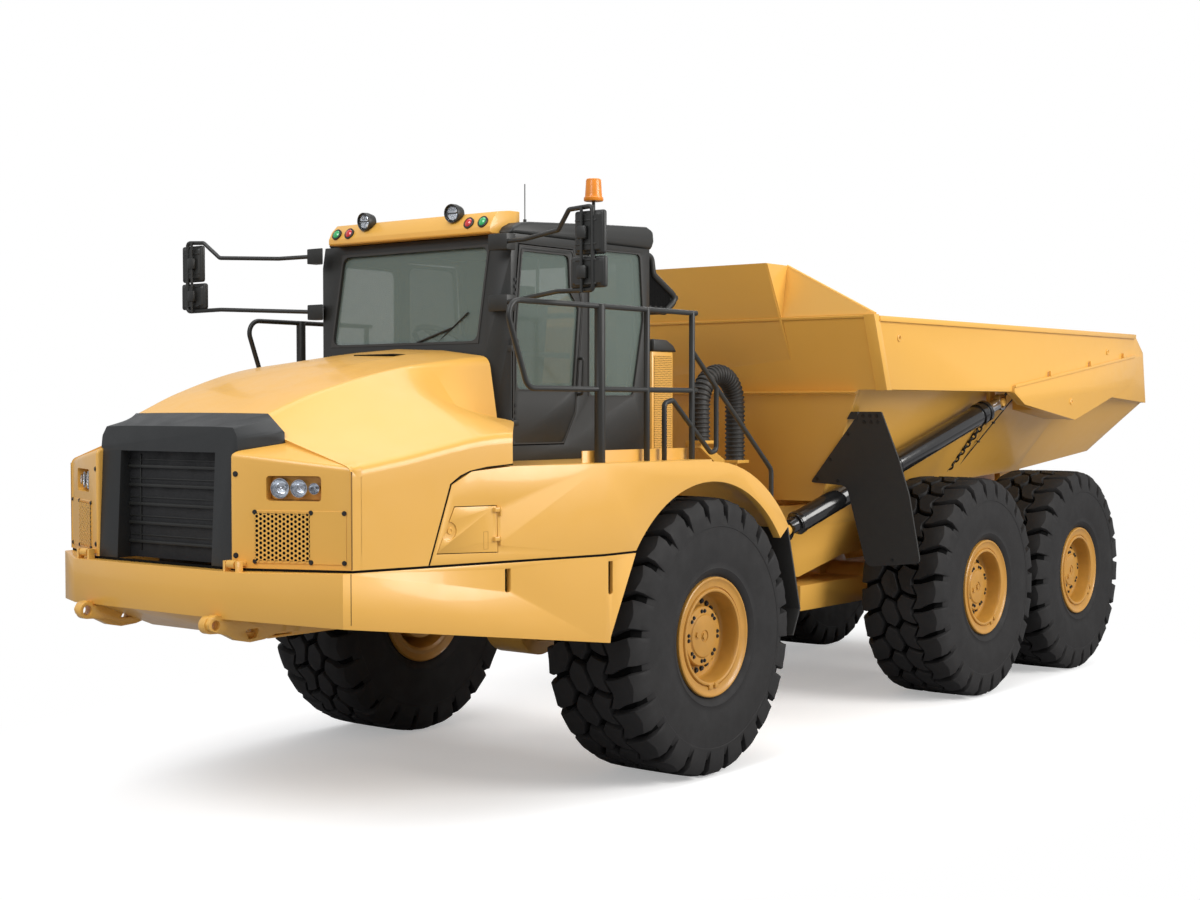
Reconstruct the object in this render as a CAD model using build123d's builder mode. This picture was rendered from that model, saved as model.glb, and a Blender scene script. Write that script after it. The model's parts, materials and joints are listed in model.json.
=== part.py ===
"""Articulated dump truck: hauler front, rear frame on an articulated hitch and tipping bed.

Millimetres, +X forward, +Y left, +Z up.  The origin lies on the ground, midway between nose and tail
and on the centre plane.  A station is a distance ahead of the front axle, so stations behind it are
negative.  Side outlines are (station, height), plan outlines are (station, width), and cross sections
are (width, height).
"""
import os
from math import cos, radians, sin

from build123d import *

# ---- overall -------------------------------------------------------------------------------------
nose_reach = 3370.0            # tow noses ahead of the front axle
tail_reach = 7520.0            # bed tail behind the front axle
front_axle_x = (tail_reach - nose_reach) / 2
mid_axle_station = -4080.0
bogie_spread = 1966.0
rear_axle_station = mid_axle_station - bogie_spread
hitch_station = -1460.0
seam_gap = 0.3                 # between a panel and the panel or carrier it meets
swing_gap = 6.0                # between bodies that move past each other
shaft_gap = 0.05               # radial, between a pin or spindle and its bore

# ---- wheels --------------------------------------------------------------------------------------
tyre_radius = 937.5
tyre_half_width = 375.0
tread_half_width = 290.0
shoulder_drop = 22.0
wheel_plane_y = 1340.0
rim_seat_radius = 317.5
rim_half_width = 318.0
rim_flange_radius = 403.0
rim_flange_thickness = 32.0
rim_barrel_wall = 17.5
rim_disc_offset = 160.0        # inner face of the disc, outward of the wheel plane
rim_disc_thickness = 30.0
hub_cap_radius = 235.0
hub_cap_depth = 75.0
spindle_radius = 110.0
spindle_reach = 45.0           # spindle's length inside the hub
brake_radius = 225.0
brake_length = 420.0
axle_tube_radius = 150.0

# ---- front frame ---------------------------------------------------------------------------------
rail_inner_y = 430.0
rail_outer_y = 560.0
rail_bottom_z = 1150.0
rail_top_z = 1450.0
rail_front_station = 2700.0
rail_rear_station = -1000.0
nose_beam_depth = 160.0
nose_beam_half_width = 620.0
nose_beam_bottom_z = 1170.0
nose_beam_top_z = 1500.0
tow_plate_y = 570.0
tow_plate_thickness = 50.0
tow_eye_height = 1262.0
tow_eye_radius = 30.0
tow_nose_radius = 50.0
hitch_pin_radius = 70.0
hitch_lug_radius = 150.0
hitch_lug_thickness = 60.0
hitch_lower_lug_z = 830.0
hitch_upper_lug_z = 1310.0
crosshead_length = 130.0

# ---- bumper --------------------------------------------------------------------------------------
bumper_front_station = 3270.0
bumper_front_half_width = 745.0
bumper_corner_station = 2970.0
bumper_corner_half_width = 1280.0
fold_station = 1200.0          # where the tapered sides become parallel
body_half_width = 1700.0
bumper_top_z = 1560.0
bumper_wall = 25.0
bumper_lip = 110.0
bumper_lip_thickness = 12.0
bumper_bottom_fold_z = 1030.0  # lower edge below the fold
bumper_bottom_slope = 0.128
bumper_rear_foot_station = 1135.0
bumper_rear_top_station = 880.0

# ---- hood ----------------------------------------------------------------------------------------
hood_bottom_z = 1575.0
hood_wall = 25.0
hood_front_station = 2914.0
hood_rear_station = 1262.0
pod_front_station = 3200.0
pod_outer_station = 2905.0
surround_half_width = 612.0
surround_face_station = 3185.0
surround_lean = 38.0
surround_brow_z = 2350.0
grille_half_width = 435.0
grille_top_z = 2217.0
grille_thickness = 30.0
grille_setback = 95.0
hood_hinge_station = 3235.0
hood_hinge_z = 1600.0
hood_pin_radius = 12.0
hood_knuckle_radius = 24.0
headlamp_y = 970.0
headlamp_z = 2022.0
headlamp_width = 327.0
headlamp_height = 135.0
headlamp_depth = 80.0
headlamp_setback = 12.0

# ---- fenders -------------------------------------------------------------------------------------
fender_skin = 12.0
deck_top_z = 2127.0
deck_thickness = 20.0
arch_station = 50.0
arch_height = 930.0
arch_inner_radius = 1050.0
arch_outer_radius = 1183.0
arch_inner_y = 930.0
arch_front_angle = 38.0        # above the horizontal, ahead of the arch centre
arch_rear_angle = 36.5         # above the horizontal, behind the arch centre
arch_panel_rear_station = -200.0
seam_half_gap = 6.0

# ---- cab -----------------------------------------------------------------------------------------
cab_half_width = 880.0
cab_nose_half_width = 760.0
cab_front_station = 1240.0
cab_chamfer = 110.0
cab_rear_station = -350.0
cab_floor_z = 2127.0
cab_wall = 50.0
cowl_z = 2830.0
windshield_top_station = 1105.0
cab_top_z = 3590.0
roof_thickness = 130.0
pane_thickness = 10.0
door_thickness = 45.0
door_gap = 8.0
door_hinge_radius = 14.0

# ---- hitch and rear frame ------------------------------------------------------------------------
oscillation_z = 1090.0
oscillation_radius = 130.0
oscillation_end_station = -2120.0
rear_ring_radius = 215.0
rear_ring_front_station = -1780.0
rear_rail_inner_y = 470.0
rear_rail_outer_y = 600.0
rear_rail_top_z = 1660.0
rear_rail_rear_station = -6900.0
beam_y = 800.0
beam_half_width = 80.0

# ---- bed -----------------------------------------------------------------------------------------
bed_pivot_station = -6700.0
bed_pivot_z = 1560.0
bed_pivot_radius = 50.0
bed_top_y = 1775.0
bed_band_y = 1750.0
bed_floor_y = 880.0
bed_plate = 30.0
bed_front_top_station = -1970.0
bed_front_top_z = 3160.0
bed_front_foot_station = -2600.0
bed_front_foot_z = 1710.0
bed_front_step = 44.0          # front wall's thickness along the stations
headboard_top_station = -1750.0
headboard_top_z = 3585.0
headboard_half_width = 950.0
headboard_shelf = 270.0

# ---- hoist ---------------------------------------------------------------------------------------
hoist_foot_station = -2020.0
hoist_foot_y = 960.0
hoist_foot_z = 1510.0
hoist_ball_radius = 55.0
tip_angle = 70.0
hoist_eye_station = -4500.0
hoist_eye_y = 1600.0
hoist_eye_z = 2520.0
hoist_barrel_radius = 90.0
hoist_stage_radius = 70.0
hoist_rod_radius = 50.0
hoist_eye_radius = 70.0
hoist_pin_radius = 35.0


def at(station, width, height):
    """A point of the part's frame from a station, a width and a height."""
    return (front_axle_x + station, width, height)


def side_prism(outline, low_y, high_y, mode=Mode.ADD, inset=0.0):
    """Extrude a side outline, drawn in by an inset, between two widths, in the part being built."""
    plane = Plane(origin=at(0, high_y, 0), x_dir=(1, 0, 0), z_dir=(0, -1, 0))
    with BuildSketch(plane) as profile:
        with BuildLine():
            Polyline(*outline, close=True)
        make_face()
        if inset:
            offset(amount=-inset, kind=Kind.INTERSECTION, mode=Mode.REPLACE)
    extrude(profile.sketch, amount=high_y - low_y, dir=(0, -1, 0), mode=mode)


def plan_prism(outline, low_z, high_z, mode=Mode.ADD):
    """Extrude a plan outline between two heights, in the part being built."""
    with BuildSketch(Plane(origin=at(0, 0, low_z))) as profile:
        with BuildLine():
            Polyline(*outline, close=True)
        make_face()
    extrude(profile.sketch, amount=high_z - low_z, dir=(0, 0, 1), mode=mode)


def front_prism(outline, rear_station, front_station, mode=Mode.ADD):
    """Extrude a cross section between two stations, in the part being built."""
    plane = Plane(origin=at(rear_station, 0, 0), x_dir=(0, 1, 0), z_dir=(1, 0, 0))
    with BuildSketch(plane) as profile:
        with BuildLine():
            Polyline(*outline, close=True)
        make_face()
    extrude(profile.sketch, amount=front_station - rear_station, dir=(1, 0, 0), mode=mode)


def block(stations, widths, heights, mode=Mode.ADD):
    """A box between two stations, two widths and two heights."""
    size = [abs(b - a) for a, b in (stations, widths, heights)]
    centre = [(a + b) / 2 for a, b in (stations, widths, heights)]
    with Locations(at(*centre)):
        Box(*size, mode=mode)


def rod(start, end, radius, mode=Mode.ADD):
    """A round bar between two points of the part's frame."""
    axis = Vector(*end) - Vector(*start)
    with BuildSketch(Plane(origin=start, z_dir=axis)) as section:
        Circle(radius)
    extrude(section.sketch, amount=axis.length, dir=axis, mode=mode)


def cross_bar(station, height, low_y, high_y, radius, mode=Mode.ADD):
    """A round bar along the width."""
    rod(at(station, low_y, height), at(station, high_y, height), radius, mode)


def pipe(points, radius, bend):
    """A bent tube's outer form through points of the part's frame."""
    with BuildLine() as route:
        FilletPolyline(*points, radius=bend)
    with BuildSketch(Plane(origin=route.line @ 0, z_dir=route.line % 0)) as section:
        Circle(radius)
    sweep(section.sketch, path=route.line)


def both(outline):
    """A closed outline from its left half, mirrored to the right."""
    return outline + [(a, -b) for a, b in reversed(outline)]


def section_of(half):
    """A closed cross section from its left half."""
    return half + [(-y, z) for y, z in reversed(half) if y > 0]


def taper_y(station):
    """Half width of the body sides at a station ahead of the fold."""
    slope = (body_half_width - bumper_corner_half_width) / (bumper_corner_station - fold_station)
    return body_half_width - slope * max(0.0, station - fold_station)


def save(piece, name):
    """Label a finished piece and write it."""
    piece.part.label = name
    export_step(piece.part, f"parts/{name}.step")


def save_pair(piece, name):
    """Write a left-hand piece and its right-hand twin as one node."""
    with BuildPart() as pair:
        add(piece.part)
        mirror(piece.part, about=Plane.XZ)
    save(pair, name)


def save_mirrored(piece, name):
    """Write the right-hand copy of a left-hand piece."""
    with BuildPart() as copy:
        mirror(piece.part, about=Plane.XZ)
    save(copy, name)


os.makedirs("parts", exist_ok=True)

# ==== wheels ======================================================================================
wheel_stations = {"front": 0.0, "mid": mid_axle_station, "rear": rear_axle_station}
flange_outer = rim_half_width + rim_flange_thickness
barrel_inner = rim_seat_radius - rim_barrel_wall
disc_outer = rim_disc_offset + rim_disc_thickness
bore_end = disc_outer + 15.0
bore_mouth = bore_end - spindle_reach - swing_gap - 40.0
bead_side = rim_half_width - seam_gap
# (outward of the wheel plane, radius), outer half
tyre_half = [
    (bead_side, rim_seat_radius + seam_gap), (bead_side, rim_flange_radius + 9.0),
    (flange_outer + 4.0, rim_flange_radius + 40.0), (tyre_half_width, 640.0),
    (tyre_half_width - 3.0, 760.0), (tyre_half_width - 25.0, 880.0),
    (tyre_half_width - 37.0, tyre_radius - shoulder_drop), (tread_half_width, tyre_radius),
]
tyre_profile = tyre_half + [(-w, r) for w, r in reversed(tyre_half)]
rim_profile = [
    (-flange_outer, barrel_inner), (-flange_outer, rim_flange_radius),
    (-rim_half_width, rim_flange_radius), (-rim_half_width, rim_seat_radius),
    (rim_half_width, rim_seat_radius), (rim_half_width, rim_flange_radius),
    (flange_outer, rim_flange_radius), (flange_outer, barrel_inner + 62.0),
    (flange_outer - 22.0, barrel_inner + 40.0), (flange_outer - 26.0, barrel_inner + 12.0),
    (flange_outer - 60.0, barrel_inner), (disc_outer + 24.0, barrel_inner),
    (disc_outer, barrel_inner - 20.0), (disc_outer, hub_cap_radius),
    (disc_outer + hub_cap_depth - 12.0, hub_cap_radius - 12.0),
    (disc_outer + hub_cap_depth, 190.0), (disc_outer + hub_cap_depth, 0.0),
    (bore_end, 0.0), (bore_end, spindle_radius + shaft_gap), (bore_mouth, spindle_radius + shaft_gap),
    (bore_mouth, hub_cap_radius), (rim_disc_offset, hub_cap_radius + 20.0), (rim_disc_offset, barrel_inner),
]
for axle, station in wheel_stations.items():
    for hand, side in (("left", 1), ("right", -1)):
        wheel_centre = at(station, side * wheel_plane_y, tyre_radius)
        wheel_section = Plane(origin=wheel_centre, x_dir=(0, side, 0), z_dir=(side, 0, 0))
        wheel_axis = Axis(wheel_centre, (0, 1, 0))
        for piece_name, profile in (("tyre", tyre_profile), ("rim", rim_profile)):
            with BuildPart() as wheel_piece:
                with BuildSketch(wheel_section):
                    with BuildLine():
                        Polyline(*profile, close=True)
                    make_face()
                revolve(axis=wheel_axis)
            save(wheel_piece, f"{piece_name}_{axle}_{hand}")

brake_outer_y = wheel_plane_y + bore_mouth - swing_gap
spindle_end_y = wheel_plane_y + bore_end - swing_gap
brake_inner_y = brake_outer_y - brake_length


def axle_beam(station):
    """Axle tube, brake housings and spindles at one axle, in the part being built."""
    for end in (1, -1):
        cross_bar(station, tyre_radius, 0, end * brake_inner_y, axle_tube_radius)
        cross_bar(station, tyre_radius, end * brake_inner_y, end * brake_outer_y, brake_radius)
        cross_bar(station, tyre_radius, end * brake_outer_y, end * spindle_end_y, spindle_radius)


# ==== front frame =================================================================================
with BuildPart() as front_frame:
    for side in (1, -1):
        block((rail_rear_station, rail_front_station), (side * rail_inner_y, side * rail_outer_y),
              (rail_bottom_z, rail_top_z))
    for cross_station in (700.0, -880.0):
        block((cross_station, cross_station + 90.0), (-rail_inner_y, rail_inner_y), (1200.0, 1400.0))
    nose_beam_front = rail_front_station + nose_beam_depth
    block((rail_front_station, nose_beam_front), (-nose_beam_half_width, nose_beam_half_width),
          (nose_beam_bottom_z, nose_beam_top_z))
    for side in (1, -1):
        block((nose_beam_front, bumper_front_station - bumper_wall), (side * 300.0, side * 340.0),
              (1360.0, 1500.0))
        tow_nose_station = nose_reach - tow_nose_radius
        tow_low = side * tow_plate_y - tow_plate_thickness / 2
        tow_high = side * tow_plate_y + tow_plate_thickness / 2
        tow_outline = [
            (nose_beam_front - 5.0, 1190.0), (2960.0, 1162.0), (3090.0, 1162.0), (3190.0, 1205.0),
            (tow_nose_station, tow_eye_height - tow_nose_radius),
            (tow_nose_station, tow_eye_height + tow_nose_radius - 26.0),
            (bumper_front_station - bumper_wall - 20.0, tow_eye_height + tow_nose_radius - 24.0),
            (nose_beam_front - 5.0, 1330.0),
        ]
        side_prism(tow_outline, tow_low, tow_high)
        cross_bar(tow_nose_station, tow_eye_height, tow_low, tow_high, tow_nose_radius)
        cross_bar(tow_nose_station, tow_eye_height, tow_low - 1, tow_high + 1, tow_eye_radius, Mode.SUBTRACT)
        side_prism([(3000.0, 1192.0), (3085.0, 1198.0), (3060.0, 1240.0)], tow_low - 1, tow_high + 1,
                   Mode.SUBTRACT)
    for mount_station, arm_y, arm_top in ((1150.0, 1600.0, deck_top_z - deck_thickness), (-330.0, 900.0, 2060.0)):
        block((mount_station, mount_station + 90.0), (-cab_half_width + 20.0, cab_half_width - 20.0),
              (2000.0, cab_floor_z - seam_gap))
        for side in (1, -1):
            block((mount_station, mount_station + 90.0), (side * rail_inner_y, side * rail_outer_y),
                  (rail_top_z - 5.0, 2010.0))
            block((mount_station, mount_station + 90.0), (side * 800.0, side * arm_y),
                  (2000.0, arm_top - seam_gap))
    crosshead_rear = rail_rear_station - crosshead_length
    block((crosshead_rear, rail_rear_station), (-rail_outer_y, rail_outer_y), (hitch_lower_lug_z, rail_top_z))
    for lug_z in (hitch_lower_lug_z, hitch_upper_lug_z):
        plan_prism(both([(crosshead_rear + 5.0, 2 * hitch_lug_radius), (hitch_station, hitch_lug_radius)]),
                   lug_z, lug_z + hitch_lug_thickness)
        rod(at(hitch_station, 0, lug_z), at(hitch_station, 0, lug_z + hitch_lug_thickness), hitch_lug_radius)
    rod(at(hitch_station, 0, hitch_lower_lug_z - 1), at(hitch_station, 0, rail_top_z),
        hitch_pin_radius + shaft_gap, Mode.SUBTRACT)
save(front_frame, "front_frame")

with BuildPart() as front_axle:
    axle_beam(0.0)
    cross_bar(0.0, tyre_radius, -170.0, 170.0, 250.0)
    for side in (1, -1):
        block((-90.0, 90.0), (side * rail_inner_y, side * rail_outer_y), (tyre_radius, rail_bottom_z))
save(front_axle, "front_axle")

with BuildPart() as skid_plate:
    side_prism([(bumper_front_station - bumper_wall - seam_gap, 1306.0),
                (bumper_front_station - bumper_wall - seam_gap, 1292.0),
                (nose_beam_front, 1135.0), (700.0, 1135.0), (700.0, rail_bottom_z),
                (nose_beam_front, rail_bottom_z)], -rail_outer_y + 20.0, rail_outer_y - 20.0)
save(skid_plate, "skid_plate")

with BuildPart() as engine:
    block((1300.0, 2500.0), (-400.0, 400.0), (1200.0, rail_top_z + 5.0))
    block((1300.0, 2500.0), (-500.0, 500.0), (rail_top_z, 2050.0))
    block((rail_front_station, nose_beam_front - 20.0), (-500.0, 500.0), (nose_beam_top_z, 2150.0))
    block((2495.0, rail_front_station + 5.0), (-60.0, 60.0), (1700.0, 1800.0))
save(engine, "engine")

# ==== bumper ======================================================================================
body_plan = both([(bumper_front_station, bumper_front_half_width),
                  (bumper_corner_station, bumper_corner_half_width),
                  (fold_station, body_half_width), (400.0, body_half_width)])
bumper_bottom = [(s, bumper_bottom_fold_z + bumper_bottom_slope * (s - fold_station)) for s in (300.0, 3400.0)]
with BuildPart() as bumper:
    for low_z, wall in ((900.0, bumper_wall), (bumper_top_z - bumper_lip_thickness, bumper_lip)):
        with BuildSketch(Plane(origin=at(0, 0, low_z))):
            with BuildLine():
                Polyline(*body_plan, close=True)
            make_face()
            offset(amount=-wall, kind=Kind.INTERSECTION, mode=Mode.SUBTRACT)
        extrude(amount=bumper_top_z - low_z)
    side_prism([(300.0, 800.0)] + bumper_bottom + [(3400.0, 800.0)], -2000.0, 2000.0, Mode.SUBTRACT)
    side_prism([(300.0, 800.0), (bumper_rear_foot_station + 40.0, 800.0), (bumper_rear_foot_station, 1060.0),
                (bumper_rear_top_station, bumper_top_z), (bumper_rear_top_station, 1700.0), (300.0, 1700.0)],
               -2000.0, 2000.0, Mode.SUBTRACT)
    for slot_station, slot_low, slot_high in ((2088.0, 1416.0, 1535.0), (1145.0, 1318.0, 1528.0)):
        block((slot_station - 8.0, slot_station + 8.0), (-2000.0, 2000.0), (slot_low, slot_high), Mode.SUBTRACT)
    for side in (1, -1):
        for ear_y in (620.0, 725.0):
            block((hood_hinge_station - 20.0, hood_hinge_station + 20.0), (side * ear_y, side * (ear_y + 18.0)),
                  (bumper_top_z - 2.0, hood_hinge_z + 20.0))
        cross_bar(hood_hinge_station, hood_hinge_z, side * 620.0, side * 743.0, hood_pin_radius)
save(bumper, "bumper")

# ==== hood ========================================================================================
# station, centre height, crown width, crown height, crease width, crease height, shoulder height
hood_sections = (
    (2914.0, 2440.0, 610.0, 2436.0, 750.0, 2290.0, 2138.0),
    (2586.0, 2575.0, 650.0, 2560.0, 850.0, 2397.0, 2190.0),
    (2060.0, 2735.0, 730.0, 2700.0, 990.0, 2540.0, 2290.0),
    (1600.0, 2812.0, 790.0, 2765.0, 940.0, 2450.0, 2325.0),
    (1262.0, 2860.0, 810.0, 2795.0, 880.0, 2385.0, 2325.0),
)


def hood_form(inset):
    """Loft of the hood's sections, drawn in by the inset, in the part being built."""
    sketches = []
    for station, centre_z, crown_y, crown_z, crease_y, crease_z, shoulder_z in hood_sections:
        half = [(0.0, centre_z - inset), (crown_y - inset / 2, crown_z - inset),
                (crease_y - inset, crease_z - inset), (taper_y(station) - inset, shoulder_z - inset),
                (taper_y(station) - inset, hood_bottom_z - inset)]
        with BuildSketch(Plane(origin=at(station, 0, 0), x_dir=(0, 1, 0), z_dir=(1, 0, 0))) as section:
            with BuildLine():
                Polyline(*section_of(half), close=True)
            make_face()
        sketches.append(section.sketch.faces()[0])
    loft(sketches, ruled=True)


pod_top_points = (at(hood_front_station, 750.0, 2268.0), at(pod_front_station, 620.0, 2215.0),
                  at(pod_outer_station, taper_y(pod_outer_station), 2138.0))


def pod_form(inset):
    """Front corner pods, drawn in by the inset, in the part being built."""
    corner, inner, outer = (Vector(*point) for point in pod_top_points)
    lid_normal = (inner - corner).cross(outer - corner)
    lid_normal = lid_normal * (-1 if lid_normal.Z < 0 else 1)
    face_run = Vector(pod_outer_station - pod_front_station, taper_y(pod_outer_station) - surround_half_width)
    step = inset * face_run.length / face_run.Y
    outline = [(pod_front_station - step, surround_half_width + seam_gap + inset),
               (pod_outer_station - step * 0.6, taper_y(pod_outer_station) - inset),
               (hood_front_station - 60.0, taper_y(hood_front_station - 60.0) - inset),
               (hood_front_station - 60.0, surround_half_width + seam_gap + inset)]
    with BuildPart() as pod:
        plan_prism(outline, hood_bottom_z - inset, 2400.0)
        split(bisect_by=Plane(origin=corner - Vector(0, 0, inset), z_dir=lid_normal), keep=Keep.BOTTOM)
    return pod.part


pod_outer_solid = pod_form(0.0)
pod_inner_solid = pod_form(hood_wall)
seam_line = [(2435.0, hood_bottom_z), (2290.0, 2035.0), (2157.0, 2108.0), (1865.0, 2142.0)]
pod_face_run = Vector(pod_outer_station - pod_front_station, taper_y(pod_outer_station) - surround_half_width)
pod_face_dir = pod_face_run.normalized()
pod_face_normal = Vector(pod_face_dir.Y, -pod_face_dir.X)


def on_pod_face(width, height, setback):
    """Plane on the left pod's face, its x along the face and its z outward."""
    share = (width - surround_half_width) / pod_face_run.Y
    point = Vector(*at(pod_front_station, surround_half_width, height)) + pod_face_run * share
    return Plane(origin=point - pod_face_normal * setback, x_dir=pod_face_dir, z_dir=pod_face_normal)


with BuildPart() as hood_hollow:
    hood_form(hood_wall)
with BuildPart() as hood_shell:
    hood_form(0.0)
    add(pod_outer_solid)
    mirror(pod_outer_solid, about=Plane.XZ)
    add(hood_hollow.part, mode=Mode.SUBTRACT)
    add(pod_inner_solid, mode=Mode.SUBTRACT)
    mirror(pod_inner_solid, about=Plane.XZ, mode=Mode.SUBTRACT)
    block((hood_front_station - 300.0, hood_front_station + 5.0), (-500.0, 500.0), (1500.0, 2380.0), Mode.SUBTRACT)
    block((1200.0, 1400.0), (-700.0, 700.0), (2050.0, 2700.0), Mode.SUBTRACT)
    side_prism([(seam_line[0][0], 1400.0)] + seam_line + [(1100.0, 2142.0), (1100.0, 1400.0)],
               -2000.0, 2000.0, Mode.SUBTRACT)
    for side in (1, -1):
        shoulder_cut = [(1870.0, body_half_width + 100.0), (1870.0, taper_y(1870.0) + 19.0),
                        (1580.0, taper_y(1580.0) - 310.0), (1335.0, cab_half_width + 8.0),
                        (1100.0, cab_half_width + 8.0), (1100.0, body_half_width + 100.0)]
        plan_prism([(s, side * y) for s, y in shoulder_cut], 1400.0, 3000.0, Mode.SUBTRACT)
        block((3140.0, hood_hinge_station), (side * 648.0, side * 712.0),
              (hood_hinge_z - 15.0, hood_hinge_z + hood_knuckle_radius - 2.0))
        cross_bar(hood_hinge_station, hood_hinge_z, side * 645.0, side * 715.0, hood_knuckle_radius)
        cross_bar(hood_hinge_station, hood_hinge_z, side * 640.0, side * 720.0, hood_pin_radius + shaft_gap,
                  Mode.SUBTRACT)
    for side in (1, -1):
        face = on_pod_face(headlamp_y, headlamp_z, headlamp_depth)
        with BuildSketch(face) as lamp_cut:
            Rectangle(headlamp_width, headlamp_height)
        recess = extrude(lamp_cut.sketch, amount=headlamp_depth + 40.0, mode=Mode.PRIVATE)
        add(recess if side > 0 else mirror(recess, about=Plane.XZ, mode=Mode.PRIVATE), mode=Mode.SUBTRACT)
save(hood_shell, "hood_shell")

with BuildPart() as grille_surround:
    legs_plan = [(hood_front_station + seam_gap, grille_half_width), (surround_face_station, grille_half_width),
                 (surround_face_station, surround_half_width), (hood_front_station + seam_gap, surround_half_width)]
    for side in (1, -1):
        plan_prism([(s, side * y) for s, y in legs_plan], hood_bottom_z, grille_top_z + 5.0)
    brow_sections = (
        (hood_front_station + seam_gap, [(0.0, 2440.0), (610.0, 2436.0), (750.0, 2330.0), (750.0, 2255.0),
                                         (612.0, 2215.0), (0.0, 2215.0)]),
        (surround_face_station, [(0.0, surround_brow_z), (572.0, surround_brow_z), (604.0, 2300.0),
                                 (612.0, 2240.0), (612.0, 2215.0), (0.0, 2215.0)]),
    )
    brow_faces = []
    for station, half in brow_sections:
        with BuildSketch(Plane(origin=at(station, 0, 0), x_dir=(0, 1, 0), z_dir=(1, 0, 0))) as section:
            with BuildLine():
                Polyline(*(half + [(-y, z) for y, z in reversed(half) if y > 0]), close=True)
            make_face()
        brow_faces.append(section.sketch.faces()[0])
    loft(brow_faces, ruled=True)
    side_prism([(surround_face_station + 1.0, hood_bottom_z), (surround_face_station + 1.0, 2500.0),
                (surround_face_station - surround_lean - 4.0, 2500.0),
                (surround_face_station - surround_lean, surround_brow_z)], -700.0, 700.0, Mode.SUBTRACT)
    add(pod_outer_solid, mode=Mode.SUBTRACT)
    mirror(pod_outer_solid, about=Plane.XZ, mode=Mode.SUBTRACT)
save(grille_surround, "grille_surround")

with BuildPart() as grille:
    grille_face = surround_face_station - grille_setback
    fit_half_width = grille_half_width - seam_gap
    block((grille_face - grille_thickness, grille_face), (-fit_half_width, fit_half_width),
          (hood_bottom_z + 5.0, grille_top_z - 2.0 - seam_gap))
    for bar in range(7):
        bar_z = hood_bottom_z + 60.0 + bar * 88.0
        block((grille_face - 2.0, grille_face + 18.0), (-fit_half_width + 2.0, fit_half_width - 2.0),
              (bar_z, bar_z + 22.0))
save(grille, "grille")

with BuildPart() as headlamps:
    fit = 2 * seam_gap
    with BuildSketch(on_pod_face(headlamp_y, headlamp_z, headlamp_depth - seam_gap)) as lamp_body:
        Rectangle(headlamp_width - fit, headlamp_height - fit)
    extrude(lamp_body.sketch, amount=headlamp_depth - headlamp_setback)
    # offset along the lamp, radius
    for lamp_x, lamp_radius in ((-88.0, 52.0), (22.0, 45.0), (112.0, 25.0)):
        with BuildSketch(on_pod_face(headlamp_y, headlamp_z, headlamp_setback + 25.0)) as bowl:
            with Locations((lamp_x, 0)):
                Circle(lamp_radius)
        extrude(bowl.sketch, amount=40.0, mode=Mode.SUBTRACT)
    mirror(about=Plane.XZ)
save(headlamps, "headlamps")

# ==== fenders =====================================================================================
fender_edge = [(s - 2 * seam_half_gap, z - seam_half_gap) for s, z in seam_line[:3]]
fender_edge = [(fender_edge[0][0], hood_bottom_z)] + fender_edge[1:] + [(seam_line[3][0], deck_top_z)]
flap_outline = [(2265.0, 1905.0), (1975.0, 1903.0), (1966.0, 1625.0), (2381.0, 1636.0)]
flap_gap = 5.0


def body_strip(front, rear, depth, low_z, high_z, mode=Mode.ADD):
    """Upright skin along the left body side between two stations."""
    stations = [front] + ([fold_station] if front > fold_station > rear else []) + [rear]
    outline = [(s, taper_y(s)) for s in stations] + [(s, taper_y(s) - depth) for s in reversed(stations)]
    plan_prism(outline, low_z, high_z, mode)


def arch_band(inner_radius, outer_radius, low_y, high_y):
    """Part ring over the left front wheel."""
    far = 3000.0
    front, rear = radians(arch_front_angle), radians(180.0 - arch_rear_angle)
    plane = Plane(origin=at(arch_station, high_y, arch_height), x_dir=(1, 0, 0), z_dir=(0, -1, 0))
    with BuildSketch(plane) as band:
        Circle(outer_radius)
        Circle(inner_radius, mode=Mode.SUBTRACT)
        with BuildLine():
            Polyline((0, 0), (far * cos(front), far * sin(front)), (0, far * 1.2),
                     (far * cos(rear), far * sin(rear)), close=True)
        make_face(mode=Mode.INTERSECT)
    extrude(band.sketch, amount=high_y - low_y, dir=(0, -1, 0))


with BuildPart() as fender_form:
    body_strip(seam_line[0][0], arch_station, fender_skin, hood_bottom_z, deck_top_z)
    side_prism(fender_edge + [(arch_station, deck_top_z), (arch_station, hood_bottom_z)], 0.0, 2000.0,
               Mode.INTERSECT)
    deck_plan = [(seam_line[3][0], cab_half_width + seam_gap), (seam_line[3][0], taper_y(seam_line[3][0]) - 1.0),
                 (fold_station, body_half_width - 1.0), (arch_station, body_half_width - 1.0),
                 (arch_station, cab_half_width + seam_gap)]
    plan_prism(deck_plan, deck_top_z - deck_thickness, deck_top_z)
    cross_bar(arch_station, arch_height, 700.0, 2000.0, arch_inner_radius, Mode.SUBTRACT)
    arch_band(arch_outer_radius - deck_thickness, arch_outer_radius, arch_inner_y, body_half_width)
    arch_band(arch_inner_radius, arch_outer_radius, body_half_width - fender_skin, body_half_width)
    arch_band(arch_inner_radius, arch_inner_radius + fender_skin, body_half_width - 60.0, body_half_width)
    block((70.0, 1175.0), (1500.0, 1508.0), (deck_top_z - 2.0, 2202.0))
save_mirrored(fender_form, "fender_right")

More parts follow.
